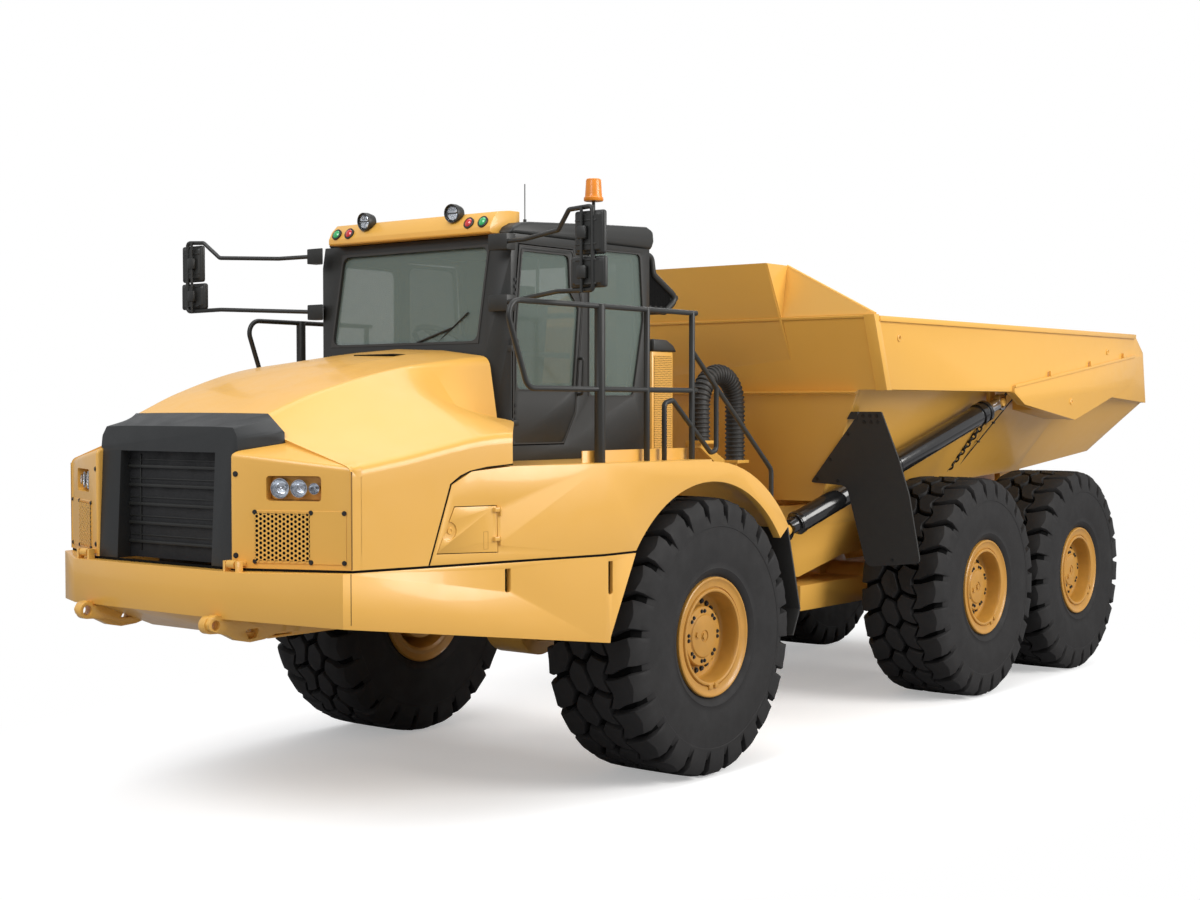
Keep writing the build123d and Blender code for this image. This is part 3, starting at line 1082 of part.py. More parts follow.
with BuildPart() as hoist_stage:
    rod(along(200.0), along(barrel_mouth + 35.0), hoist_stage_radius)
    rod(along(240.0), along(hoist_closed), hoist_rod_radius + shaft_gap, Mode.SUBTRACT)
save(hoist_stage, "hoist_stage_left")
save_mirrored(hoist_stage, "hoist_stage_right")

with BuildPart() as hoist_rod:
    rod(along(250.0), along(hoist_closed - 50.0), hoist_rod_radius)
    cross_bar(hoist_eye_station, hoist_eye_z, hoist_eye_y - 28.0, hoist_eye_y + 28.0, hoist_eye_radius)
    cross_bar(hoist_eye_station, hoist_eye_z, hoist_eye_y - 60.0, hoist_eye_y + 60.0, hoist_pin_radius + 9.0,
              Mode.SUBTRACT)
save(hoist_rod, "hoist_rod_left")
save_mirrored(hoist_rod, "hoist_rod_right")
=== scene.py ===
"""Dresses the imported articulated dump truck: paint, tyres, wheels, cab fittings, bed details and stage."""
import json
from math import atan2, cos, hypot, pi, radians, sin, tan

import bmesh
import bpy
from bpy.props import FloatProperty, FloatVectorProperty, IntProperty, PointerProperty
from mathutils import Matrix, Vector


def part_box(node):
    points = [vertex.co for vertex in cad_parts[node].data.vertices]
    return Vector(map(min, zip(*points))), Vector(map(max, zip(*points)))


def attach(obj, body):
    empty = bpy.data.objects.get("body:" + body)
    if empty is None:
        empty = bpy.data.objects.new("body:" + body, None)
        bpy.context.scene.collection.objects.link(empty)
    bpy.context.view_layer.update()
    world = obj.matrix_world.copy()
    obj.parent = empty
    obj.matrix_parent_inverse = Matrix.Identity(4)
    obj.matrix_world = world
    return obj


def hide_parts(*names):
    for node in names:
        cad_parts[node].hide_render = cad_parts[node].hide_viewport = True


bl_info = {
    "name": "Articulated Dump Truck",
    "version": (1, 0, 0),
    "blender": (4, 5, 0),
    "location": "View3D > Sidebar > Hauler",
    "description": "Builds the finish, fittings and stage of an articulated dump truck",
    "category": "Object",
}

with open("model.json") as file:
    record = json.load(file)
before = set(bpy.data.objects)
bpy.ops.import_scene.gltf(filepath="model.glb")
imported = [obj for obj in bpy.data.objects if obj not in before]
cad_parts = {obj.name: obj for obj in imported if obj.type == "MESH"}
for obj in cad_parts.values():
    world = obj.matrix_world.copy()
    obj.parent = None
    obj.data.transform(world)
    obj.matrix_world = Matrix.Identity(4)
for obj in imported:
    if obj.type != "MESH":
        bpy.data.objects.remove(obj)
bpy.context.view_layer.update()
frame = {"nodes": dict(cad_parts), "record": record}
HANDS = (("left", 1), ("right", -1))
AXLES = ("front", "mid", "rear")
FRONT_AXLE_X = sum(corner.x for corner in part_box("tyre_front_left")) / 2


# ==== sizes and colours a user would change =======================================================
def length(name, description, default):
    """A length property in metres."""
    return FloatProperty(name=name, description=description, default=default, unit="LENGTH", precision=4)


def colour(name, description, default):
    """A colour property."""
    return FloatVectorProperty(name=name, description=description, default=default, size=3, subtype="COLOR",
                               min=0.0, max=1.0)


class HaulerColours(bpy.types.PropertyGroup):
    """Paint and material colours."""
    body: colour("Body paint", "Enamel on the hood, fenders, frame and bed", (0.800, 0.432, 0.082))
    wheel: colour("Wheel paint", "Enamel on the rims and hubs", (0.540, 0.265, 0.042))
    cab: colour("Cab paint", "Satin enamel on the cab, grille and rails", (0.0175, 0.0180, 0.0165))
    tyre: colour("Tyre rubber", "Sidewall and tread", (0.020, 0.019, 0.019))
    rubber: colour("Sheet rubber", "Mudflaps, hoses and seals", (0.030, 0.029, 0.027))
    beacon: colour("Beacon", "Lens of the roof beacon", (0.860, 0.265, 0.012))


class HaulerTyre(bpy.types.PropertyGroup):
    """Sizes of the tyres."""
    pitches: IntProperty(name="Lug rows", description="Rows of tread blocks round a tyre", default=24, min=8)
    depth: length("Tread depth", "Depth of the grooves between the blocks", 0.052)
    groove: length("Groove width", "Width of the main grooves at the crown", 0.042)
    wave: length("Groove wave", "How far the main groove swings along the tread", 0.058)


class HaulerWheel(bpy.types.PropertyGroup):
    """Sizes of the rims and hubs."""
    bolts: IntProperty(name="Hub bolts", description="Bolts round each hub", default=24, min=6)
    bolt_circle: length("Bolt circle", "Radius of the hub bolt circle", 0.236)
    bolt_radius: length("Bolt radius", "Across-corner radius of a hub bolt head", 0.0155)


class HaulerStage(bpy.types.PropertyGroup):
    """Floor, light and camera."""
    camera_place: FloatVectorProperty(name="Camera place", description="Where the camera stands",
                                      default=(11.525, 8.230, 2.465), size=3, subtype="TRANSLATION")
    camera_yaw: FloatProperty(name="Camera yaw", description="Heading of the camera, from +X towards +Y",
                              default=radians(-142.13), subtype="ANGLE")
    camera_pitch: FloatProperty(name="Camera pitch", description="How far the camera looks up",
                                default=radians(-1.82), subtype="ANGLE")
    lens: FloatProperty(name="Focal length", description="Focal length in millimetres", default=51.7)


# ==== shader helpers ==============================================================================
def shader_group(name, inputs, outputs, build):
    """A shader node group with named sockets, each given as (name, kind, default)."""
    tree = bpy.data.node_groups.new(name, "ShaderNodeTree")
    for direction, sockets in (("INPUT", inputs), ("OUTPUT", outputs)):
        for label, kind, default in sockets:
            socket = tree.interface.new_socket(name=label, in_out=direction, socket_type=f"NodeSocket{kind}")
            if default is not None:
                socket.default_value = default
    build(tree, tree.nodes.new("NodeGroupInput"), tree.nodes.new("NodeGroupOutput"))
    return tree


def fill(tree, node, given):
    """Set or link the inputs of a node."""
    for key, value in given.items():
        if isinstance(value, bpy.types.NodeSocket):
            tree.links.new(value, node.inputs[key])
        else:
            node.inputs[key].default_value = value


def add_node(tree, kind, given=None, **settings):
    """Add a node with its settings and inputs, and return its outputs."""
    made = tree.nodes.new(kind)
    for key, value in settings.items():
        setattr(made, key, value)
    fill(tree, made, given or {})
    return made.outputs


def noise(tree, vector, scale, detail=3.0):
    """A noise texture on a vector, its scale a number or a socket."""
    return add_node(tree, "ShaderNodeTexNoise", {"Detail": detail, "Scale": scale, "Vector": vector})["Fac"]


def build_finish(tree, given, put):
    """Patchy tone, patchy gloss and a fine grain."""
    given = given.outputs
    place = add_node(tree, "ShaderNodeTexCoord")["Object"]
    shade = add_node(tree, "ShaderNodeMapRange", {
        "Value": noise(tree, place, given["Patch Scale"]), "From Min": 0.3, "From Max": 0.7,
        "To Min": given["Dark Tone"], "To Max": 1.0})
    toned = add_node(tree, "ShaderNodeVectorMath", {0: given["Color"], "Scale": shade["Result"]}, operation="SCALE")
    gloss = add_node(tree, "ShaderNodeMapRange", {
        "Value": noise(tree, place, 9.0, 5.0), "From Min": 0.35, "From Max": 0.65,
        "To Min": given["Roughness Low"], "To Max": given["Roughness High"]})
    bump = add_node(tree, "ShaderNodeBump", {
        "Height": noise(tree, place, given["Grain Scale"], 2.0), "Distance": given["Grain Height"], "Strength": 1.0})
    fill(tree, put, {"Color": toned["Vector"], "Roughness": gloss["Result"], "Normal": bump["Normal"]})


def finish_group():
    """The shared surface finish, made once."""
    found = bpy.data.node_groups.get("Surface_Finish")
    if found:
        return found
    return shader_group(
        "Surface_Finish",
        (("Color", "Color", (0.5, 0.5, 0.5, 1.0)), ("Dark Tone", "Float", 0.9), ("Patch Scale", "Float", 1.5),
         ("Roughness Low", "Float", 0.3), ("Roughness High", "Float", 0.4), ("Grain Scale", "Float", 150.0),
         ("Grain Height", "Float", 0.0002)),
        (("Color", "Color", None), ("Roughness", "Float", None), ("Normal", "Vector", None)),
        build_finish)


def material(name, base, dark=0.93, patch=1.2, rough=(0.3, 0.38), grain=(160.0, 0.00015), metallic=0.0, coat=0.0,
             specular=0.5):
    """A finish made from the shared group, made once under its name."""
    made = bpy.data.materials.get(name)
    if made:
        return made
    made = bpy.data.materials.new(name)
    made.use_nodes = True
    made.diffuse_color = (*base, 1.0)
    tree = made.node_tree
    shader = tree.nodes["Principled BSDF"]
    group = tree.nodes.new("ShaderNodeGroup")
    group.node_tree = finish_group()
    fill(tree, group, {"Color": (*base, 1.0), "Dark Tone": dark, "Patch Scale": patch, "Roughness Low": rough[0],
                       "Roughness High": rough[1], "Grain Scale": grain[0], "Grain Height": grain[1]})
    fill(tree, shader, {"Base Color": group.outputs["Color"], "Roughness": group.outputs["Roughness"],
                        "Normal": group.outputs["Normal"], "Metallic": metallic, "Coat Weight": coat,
                        "Coat Roughness": 0.08, "Specular IOR Level": specular})
    return made


def glass(name, tint, alpha=None, rough=0.02):
    """Clear or tinted glass."""
    made = bpy.data.materials.get(name)
    if made:
        return made
    made = bpy.data.materials.new(name)
    made.use_nodes = True
    tree = made.node_tree
    fill(tree, tree.nodes["Principled BSDF"], {
        "Base Color": (*tint, 1.0), "Roughness": rough, "Transmission Weight": 1.0 if alpha is None else 0.0,
        "Alpha": 1.0 if alpha is None else alpha, "IOR": 1.45})
    return made


def cab_glass():
    """Tinted safety glass."""
    return glass("Cab_Glass", (0.17, 0.215, 0.19), 0.50, 0.05)


def lamp_glass():
    """Clear lamp cover."""
    return glass("Lamp_Glass", (0.95, 0.97, 1.0))


def paint():
    """Body enamel."""
    return material("Body_Enamel", colours().body, dark=0.955, patch=0.9, rough=(0.30, 0.38),
                    grain=(220.0, 0.00006), coat=0.25)


def wheel_paint():
    """Wheel enamel."""
    return material("Wheel_Enamel", colours().wheel, dark=0.86, patch=7.0, rough=(0.34, 0.46),
                    grain=(180.0, 0.00012), coat=0.15)


def satin_black():
    """Cab and rail enamel."""
    return material("Satin_Black", colours().cab, dark=0.85, patch=2.0, rough=(0.42, 0.5), grain=(260.0, 0.0001))


def cylinder_black():
    """Glossy enamel of the hoist cylinders."""
    return material("Cylinder_Black", (0.0115, 0.0115, 0.0120), dark=0.85, rough=(0.14, 0.22), grain=(90.0, 0.00008),
                    coat=0.6)


def tyre_rubber():
    """Sidewall and tread rubber."""
    return material("Tyre_Rubber", colours().tyre, dark=0.8, patch=2.5, rough=(0.68, 0.8), grain=(240.0, 0.0005),
                    specular=0.35)


def groove_painted_shade():
    """Dull rubber between the tread blocks, darker than the tyre as painted shade in the grooves."""
    return material("Tyre_Groove_Painted_Shade", (0.004, 0.004, 0.004), dark=0.8, rough=(0.9, 0.95), specular=0.1)


def sheet_rubber():
    """Mudflap and hose rubber."""
    return material("Sheet_Rubber", colours().rubber, dark=0.88, patch=1.5, rough=(0.5, 0.62),
                    grain=(300.0, 0.0002))


def bare_steel():
    """Bright plated steel."""
    return material("Plated_Steel", (0.62, 0.62, 0.63), dark=0.9, patch=6.0, rough=(0.16, 0.26), metallic=1.0)


def dark_steel():
    """Blackened steel fasteners."""
    return material("Dark_Steel", (0.030, 0.030, 0.030), dark=0.8, patch=20.0, rough=(0.35, 0.5), metallic=0.4)


def trim_plastic():
    """Moulded trim inside the cab."""
    return material("Trim_Plastic", (0.018, 0.019, 0.021), rough=(0.5, 0.6), grain=(420.0, 0.0003))


def iron():
    """Plain cast iron."""
    return material("Cast_Iron", (0.045, 0.045, 0.047), dark=0.8, rough=(0.55, 0.7), grain=(140.0, 0.0006))


def painted_shade_and_seal_black():
    """Near-black painted shade for the inside of holes, slots and gaps, also the seals' own black in the body seams.
    """
    return material("Painted_Shade_And_Seal_Black", (0.006, 0.006, 0.006), dark=0.7, rough=(0.8, 0.9), specular=0.1)


def seam_shade():
    """The shaded line of a panel joint."""
    return material("Joint_Shade", (0.150, 0.070, 0.016), dark=0.8, rough=(0.6, 0.7))


def slate():
    """Painted moulding round the grille."""
    return material("Slate_Moulding", (0.0205, 0.0220, 0.0225), dark=0.9, patch=1.6, rough=(0.40, 0.48),
                    grain=(320.0, 0.00018))


def reflector():
    """Bright lamp bowl."""
    return material("Lamp_Reflector", (0.80, 0.82, 0.85), dark=0.85, patch=30.0, rough=(0.10, 0.2), metallic=1.0)


def beacon_lens():
    """Amber moulded lens."""
    return material("Amber_Lens", colours().beacon, dark=0.8, patch=12.0, rough=(0.30, 0.40),
                    grain=(60.0, 0.0001), coat=0.2)


def mesh_screen():
    """Fine black mesh behind the grille bars."""
    return material("Grille_Mesh", (0.010, 0.010, 0.011), dark=0.4, patch=60.0, rough=(0.5, 0.7),
                    grain=(500.0, 0.001))


def colours():
    """The scene's colour settings."""
    return bpy.context.scene.hauler_colours


# ==== mesh helpers ================================================================================
def in_scene(piece):
    """Link an object to the scene, unless it is there, and return it."""
    if piece.name not in bpy.context.scene.collection.objects:
        bpy.context.scene.collection.objects.link(piece)
    return piece


def freed(piece):
    """The mesh of an object, which is removed."""
    mesh = piece.data
    bpy.data.objects.remove(piece)
    return mesh


def mesh_from(name, bm):
    """A mesh from a bmesh, which is freed."""
    mesh = bpy.data.meshes.new(name)
    bm.to_mesh(mesh)
    bm.free()
    return mesh


def baked(piece):
    """The plain mesh of an object with its modifiers applied."""
    depsgraph = bpy.context.evaluated_depsgraph_get()
    depsgraph.update()
    return bpy.data.meshes.new_from_object(piece.evaluated_get(depsgraph))


def place(piece, body, slot, finish=None, replaced=()):
    """Give a finished object its body, material and the CAD nodes that it stands for; the slot is not used."""
    if finish is not None:
        piece.data.materials.clear()
        piece.data.materials.append(finish)
    in_scene(piece)
    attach(piece, body)
    if replaced:
        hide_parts(*replaced)
    return piece


def shade(mesh, angle=32.0):
    """Smooth shading that keeps the edges past an angle sharp."""
    mesh.shade_smooth()
    mesh.set_sharp_from_angle(angle=radians(angle))


def mesh_object(name, bm, angle=32.0, weld=0.00002):
    """An object from a bmesh, its doubles merged and its faces turned outward."""
    bmesh.ops.remove_doubles(bm, verts=bm.verts, dist=weld)
    bmesh.ops.recalc_face_normals(bm, faces=bm.faces)
    mesh = mesh_from(name, bm)
    shade(mesh, angle)
    return bpy.data.objects.new(name, mesh)


def bevel(piece, width, segments=2, angle=30.0):
    """Round an object's sharp edges and keep the rounding as mesh."""
    in_scene(piece)
    modifier = piece.modifiers.new("Edges", "BEVEL")
    modifier.width = width
    modifier.segments = segments
    modifier.limit_method = "ANGLE"
    modifier.angle_limit = radians(angle)
    modifier.harden_normals = False
    solidify(piece)
    shade(piece.data, 38.0)
    return piece


def solidify(piece):
    """Turn an object's modifiers into plain mesh."""
    result = baked(piece)
    piece.modifiers.clear()
    piece.data = result


def merged_copy(name, node, flat=0.3):
    """A copy of a CAD node with its triangles joined into flat faces."""
    bm = bmesh.new()
    bm.from_mesh(frame["nodes"][node].data)
    bmesh.ops.remove_doubles(bm, verts=bm.verts, dist=0.00002)
    bmesh.ops.dissolve_limit(bm, angle_limit=radians(flat), verts=bm.verts, edges=bm.edges)
    mesh = mesh_from(name, bm)
    mesh.materials.clear()
    return bpy.data.objects.new(name, mesh)


def body_of(node):
    """The body that a CAD node rides on."""
    return next(body for body, nodes in frame["record"]["behaviour"]["bodies"].items() if node in nodes)


def slot_of(node):
    """The material slot of a CAD node."""
    return next(part["material_slot"] for part in frame["record"]["subparts"] if part["node"] == node)


def dress(node, finish, width=0.004, segments=2):
    """Stand a copy with rounded edges in for a CAD node."""
    piece = merged_copy(f"{node}_finished", node)
    bevel(piece, width, segments)
    return place(piece, body_of(node), slot_of(node), finish, (node,))


def at(station, width, height):
    """A point in metres from millimetres ahead of the front axle, to the left and up."""
    return Vector((FRONT_AXLE_X + station / 1000.0, width / 1000.0, height / 1000.0))


# ==== geometry node helpers =======================================================================
class GrowTree:
    """A geometry node tree with named inputs, ended by Realize Instances and Set Material."""

    def __init__(self, name, inputs):
        self.tree = bpy.data.node_groups.new(name, "GeometryNodeTree")
        new_socket = self.tree.interface.new_socket
        new_socket(name="Geometry", in_out="INPUT", socket_type="NodeSocketGeometry")
        for label, kind, default in inputs:
            new_socket(name=label, in_out="INPUT", socket_type=f"NodeSocket{kind}").default_value = default
        new_socket(name="Material", in_out="INPUT", socket_type="NodeSocketMaterial")
        new_socket(name="Geometry", in_out="OUTPUT", socket_type="NodeSocketGeometry")
        self.given = self.tree.nodes.new("NodeGroupInput").outputs

    def node(self, kind, given=None, **settings):
        """Add a node with its settings and inputs, and return its outputs."""
        return add_node(self.tree, kind, given, **settings)

    def math(self, operation, *values):
        """A math node on numbers or sockets."""
        return self.node("ShaderNodeMath", dict(enumerate(values)), operation=operation)["Value"]

    def end(self, geometry):
        """Realize the instances, set the material and return the tree."""
        whole = self.node("GeometryNodeRealizeInstances", {"Geometry": geometry})["Geometry"]
        done = self.node("GeometryNodeSetMaterial", {"Geometry": whole, "Material": self.given["Material"]})
        put = self.tree.nodes.new("NodeGroupOutput")
        self.tree.links.new(done["Geometry"], put.inputs["Geometry"])
        return self.tree


def grown(tree, values, base):
    """The plain mesh that a geometry tree makes of a base mesh and named values."""
    carrier = bpy.data.objects.new("carrier", base)
    bpy.context.scene.collection.objects.link(carrier)
    modifier = carrier.modifiers.new("Grow", "NODES")
    modifier.node_group = tree
    for item in tree.interface.items_tree:
        if item.item_type == "SOCKET" and item.in_out == "INPUT" and item.name in values:
            modifier[item.identifier] = values[item.name]
    mesh = baked(carrier)
    bpy.data.objects.remove(carrier)
    return mesh


def fastener_tree():
    """A bolt head and washer on each point, standing along its facing."""
    found = bpy.data.node_groups.get("Fasteners")
    if found:
        return found
    grow = GrowTree("Fasteners", (("Radius", "Float", 0.012), ("Height", "Float", 0.01), ("Sides", "Int", 6)))
    head = grow.node("GeometryNodeMeshCylinder", {"Vertices": grow.given["Sides"], "Radius": grow.given["Radius"],
                                                  "Depth": grow.math("MULTIPLY", grow.given["Height"], 2.0)})
    washer = grow.node("GeometryNodeMeshCylinder", {
        "Vertices": 12, "Radius": grow.math("MULTIPLY", grow.given["Radius"], 1.35),
        "Depth": grow.math("MULTIPLY", grow.given["Height"], 0.5)})
    both = grow.node("GeometryNodeJoinGeometry", {"Geometry": head["Mesh"]})
    grow.tree.links.new(washer["Mesh"], both[0].node.inputs["Geometry"])
    facing = grow.node("GeometryNodeInputNamedAttribute", {"Name": "facing"}, data_type="FLOAT_VECTOR")
    turn = grow.node("FunctionNodeAlignRotationToVector", {"Vector": facing["Attribute"]}, axis="Z")
    heads = grow.node("GeometryNodeInstanceOnPoints", {"Points": grow.given["Geometry"],
                                                       "Instance": both["Geometry"],
                                                       "Rotation": turn["Rotation"]})
    return grow.end(heads["Instances"])


def fasteners(points, radius, height, finish, sides=6):
    """Bolt heads at (place, facing) pairs."""
    base = bpy.data.meshes.new("fastener_points")
    base.from_pydata([tuple(spot) for spot, _ in points], [], [])
    facing = base.attributes.new("facing", "FLOAT_VECTOR", "POINT")
    for index, (_, direction) in enumerate(points):
        facing.data[index].vector = direction
    return grown(fastener_tree(), {"Radius": radius, "Height": height, "Sides": sides, "Material": finish}, base)


def perforation_tree():
    """A plate of six-sided cells, each with a round hole."""
    found = bpy.data.node_groups.get("Perforated_Plate")
    if found:
        return found
    grow = GrowTree("Perforated_Plate", (("Pitch", "Float", 0.016), ("Hole", "Float", 0.010),
                                         ("Columns", "Int", 20), ("Rows", "Int", 16), ("Depth", "Float", 0.004)))
    given = grow.given
    corner = grow.math("DIVIDE", given["Pitch"], 3.0 ** 0.5)
    outline = grow.node("GeometryNodeCurvePrimitiveCircle", {"Resolution": 6, "Radius": corner}, mode="RADIUS")
    outline = grow.node("GeometryNodeResampleCurve", {"Curve": outline["Curve"], "Count": 12})
    plate = grow.node("GeometryNodeFillCurve", {"Curve": outline["Curve"]})
    plate[0].node.mode = "NGONS"
    inset = grow.node("GeometryNodeExtrudeMesh", {"Mesh": plate["Mesh"], "Offset Scale": 0.0}, mode="FACES")
    place = grow.node("GeometryNodeInputPosition")
    away = grow.node("ShaderNodeVectorMath", {0: place["Position"]}, operation="NORMALIZE")
    rim = grow.node("ShaderNodeVectorMath", {0: away["Vector"], "Scale": grow.math("DIVIDE", given["Hole"], 2.0)},
                    operation="SCALE")
    rounded = grow.node("GeometryNodeSetPosition", {"Geometry": inset["Mesh"], "Selection": inset["Top"],
                                                    "Position": rim["Vector"]})
    wall = grow.node("GeometryNodeExtrudeMesh", {
        "Mesh": rounded["Geometry"], "Selection": inset["Top"],
        "Offset Scale": grow.math("MULTIPLY", given["Depth"], -1.0)}, mode="FACES")
    cell = grow.node("GeometryNodeDeleteGeometry", {"Geometry": wall["Mesh"], "Selection": wall["Top"]},
                     domain="FACE")
    last_column = grow.math("SUBTRACT", given["Columns"], 1.0)
    last_row = grow.math("SUBTRACT", given["Rows"], 1.0)
    grid = grow.node("GeometryNodeMeshGrid", {
        "Vertices X": given["Columns"], "Vertices Y": given["Rows"],
        "Size X": grow.math("MULTIPLY", grow.math("MULTIPLY", corner, 1.5), last_column),
        "Size Y": grow.math("MULTIPLY", given["Pitch"], last_row)})
    index = grow.node("GeometryNodeInputIndex")["Index"]
    column = grow.math("FLOOR", grow.math("DIVIDE", grow.math("ADD", index, 0.5), given["Rows"]))
    odd = grow.math("MODULO", column, 2.0)
    shift = grow.node("ShaderNodeCombineXYZ", {"Y": grow.math("MULTIPLY", grow.math("SUBTRACT", odd, 0.5),
                                                               grow.math("DIVIDE", given["Pitch"], 2.0))})
    points = grow.node("GeometryNodeSetPosition", {"Geometry": grid["Mesh"], "Offset": shift["Vector"]})
    cells = grow.node("GeometryNodeInstanceOnPoints", {"Points": points["Geometry"],
                                                       "Instance": cell["Geometry"]})
    return grow.end(cells["Instances"])


def perforated(width, height, pitch, hole, depth, finish):
    """A perforated plate centred on the origin, facing +Z."""
    columns = max(2, int(width / (pitch * 1.5 / 3.0 ** 0.5)))
    rows = max(2, int(height / pitch))
    return grown(perforation_tree(), {"Pitch": pitch, "Hole": hole, "Columns": columns, "Rows": rows,
                                      "Depth": depth, "Material": finish}, bpy.data.meshes.new("plate"))


def ring_tree():
    """Rings along a path: threaded on it, or linked into each other as a chain."""
    found = bpy.data.node_groups.get("Path_Rings")
    if found:
        return found
    grow = GrowTree("Path_Rings", (("Spacing", "Float", 0.03), ("Ring", "Float", 0.08), ("Wire", "Float", 0.01),
                                   ("Stretch", "Float", 1.0), ("Chain", "Float", 0.0)))
    given = grow.given
    path = grow.node("GeometryNodeMeshToCurve", {"Mesh": given["Geometry"]})
    path = grow.node("GeometryNodeResampleCurve", {"Curve": path["Curve"], "Length": given["Spacing"]},
                     mode="LENGTH")
    circle = grow.node("GeometryNodeCurvePrimitiveCircle", {"Resolution": 14, "Radius": given["Ring"]},
                       mode="RADIUS")
    wire = grow.node("GeometryNodeCurvePrimitiveCircle", {"Resolution": 7, "Radius": given["Wire"]}, mode="RADIUS")
    long = grow.node("ShaderNodeCombineXYZ", {"X": given["Stretch"], "Y": 1.0, "Z": 1.0})
    circle = grow.node("GeometryNodeTransform", {"Geometry": circle["Curve"], "Scale": long["Vector"]})
    ring = grow.node("GeometryNodeCurveToMesh", {"Curve": circle["Geometry"], "Profile Curve": wire["Curve"]})
    tangent = grow.node("GeometryNodeInputTangent")["Tangent"]
    threaded = grow.node("FunctionNodeAlignRotationToVector", {"Vector": tangent}, axis="Z")
    linked = grow.node("FunctionNodeAlignRotationToVector", {"Vector": tangent}, axis="X")
    odd = grow.math("MODULO", grow.node("GeometryNodeInputIndex")["Index"], 2.0)
    quarter = grow.node("FunctionNodeAxisAngleToRotation", {
        "Axis": (1.0, 0.0, 0.0), "Angle": grow.math("MULTIPLY", grow.math("ADD", odd, 0.5), pi / 2)})
    linked = grow.node("FunctionNodeRotateRotation", {"Rotation": linked["Rotation"],
                                                      "Rotate By": quarter["Rotation"]}, rotation_space="LOCAL")
    turn = grow.node("GeometryNodeSwitch", {"Switch": given["Chain"], "False": threaded["Rotation"],
                                            "True": linked["Rotation"]}, input_type="ROTATION")
    rings = grow.node("GeometryNodeInstanceOnPoints", {"Points": path["Curve"], "Instance": ring["Mesh"],
                                                       "Rotation": turn["Output"]})
    return grow.end(rings["Instances"])


def rings_along(points, spacing, ring, wire, finish, stretch=1.0, chain=0.0):
    """Rings threaded or linked along a run of points."""
    base = bpy.data.meshes.new("ring_path")
    base.from_pydata([tuple(spot) for spot in points], [(i, i + 1) for i in range(len(points) - 1)], [])
    return grown(ring_tree(), {"Spacing": spacing, "Ring": ring, "Wire": wire, "Stretch": stretch,
                               "Chain": chain, "Material": finish}, base)


# ==== form helpers ================================================================================
def prism(*rings):
    """A closed form through matching loops of points."""
    bm = bmesh.new()
    rings = [[bm.verts.new(spot) for spot in ring] for ring in rings]
    count = len(rings[0])
    for here, after in zip(rings, rings[1:]):
        for k in range(count):
            nxt = (k + 1) % count
            bm.faces.new((here[k], here[nxt], after[nxt], after[k]))
    bm.faces.new(rings[0][::-1])
    bm.faces.new(rings[-1])
    bmesh.ops.recalc_face_normals(bm, faces=bm.faces)
    return bm


def round_edges(bm, edges, width, segments=2):
    """Round some edges of a bmesh."""
    bmesh.ops.bevel(bm, geom=edges, offset=width, segments=segments, affect="EDGES", profile=0.5,
                    clamp_overlap=True)


def object_from(name, form):
    """A scene object from a bmesh, which is freed."""
    return in_scene(bpy.data.objects.new(name, mesh_from(name, form)))


def corners(low_x, high_x, low_y, high_y, inset=0.0):
    """The outline of a rectangle between four bounds, moved in by an inset."""
    return [(low_x + inset, low_y + inset), (high_x - inset, low_y + inset), (high_x - inset, high_y - inset),
            (low_x + inset, high_y - inset)]


def spun(bm, profile, segments):
    """Rings of vertices: a profile of (along Y, radius) points turned round the Y axis."""
    return [[bm.verts.new((r * sin(angle), y, r * cos(angle))) for y, r in profile]
            for angle in (2 * pi * turn / segments for turn in range(segments))]


def arc(start, corner, end, steps):
    """Points of a rounded corner."""
    return [start * (1 - t) ** 2 + corner * 2 * t * (1 - t) + end * t ** 2
            for t in (step / steps for step in range(steps + 1))]


def moved(form, move):
    """A form with every point moved, its faces turned outward again."""
    for vert in form.verts:
        vert.co = move(vert.co)
    bmesh.ops.recalc_face_normals(form, faces=form.faces)
    return form


def lathe(profile, segments=64):
    """Turn a profile of (along Y, radius) points round the Y axis; a closed run unless it ends on the axis."""
    bm = bmesh.new()
    rings = spun(bm, profile, segments)
    last = len(profile) if profile[0][1] > 0.0 or profile[-1][1] > 0.0 else len(profile) - 1
    for turn in range(segments):
        here, after = rings[turn], rings[(turn + 1) % segments]
        for index in range(last):
            nxt = (index + 1) % len(profile)
            bm.faces.new((here[index], here[nxt], after[nxt], after[index]))
    bmesh.ops.remove_doubles(bm, verts=bm.verts, dist=0.00002)
    bmesh.ops.recalc_face_normals(bm, faces=bm.faces)
    return bm


def slab(outline, low, high, chamfer=0.0):
    """A plate from an outline in X and Y between two heights, its top edge chamfered."""
    levels = [(outline, low), (outline, high - chamfer)]
    if chamfer:
        levels.append((inset_loop(outline, chamfer), high))
    return prism(*([(x, y, z) for x, y in loop] for loop, z in levels))


def inset_loop(outline, amount):
    """A closed outline moved in by an amount."""
    count = len(outline)
    area = sum(outline[i][0] * outline[(i + 1) % count][1] - outline[(i + 1) % count][0] * outline[i][1]
               for i in range(count))
    sign = 1.0 if area > 0 else -1.0
    moved = []
    for i in range(count):
        before, here, after = (Vector(outline[(i + k) % count]).to_2d() for k in (-1, 0, 1))
        first, second = (here - before).normalized(), (after - here).normalized()
        left_a, left_b = Vector((-first.y, first.x)), Vector((-second.y, second.x))
        mitre = (left_a + left_b).normalized()
        reach = amount / max(0.35, mitre.dot(left_a))
        moved.append(tuple(here + mitre * reach * sign))
    return moved


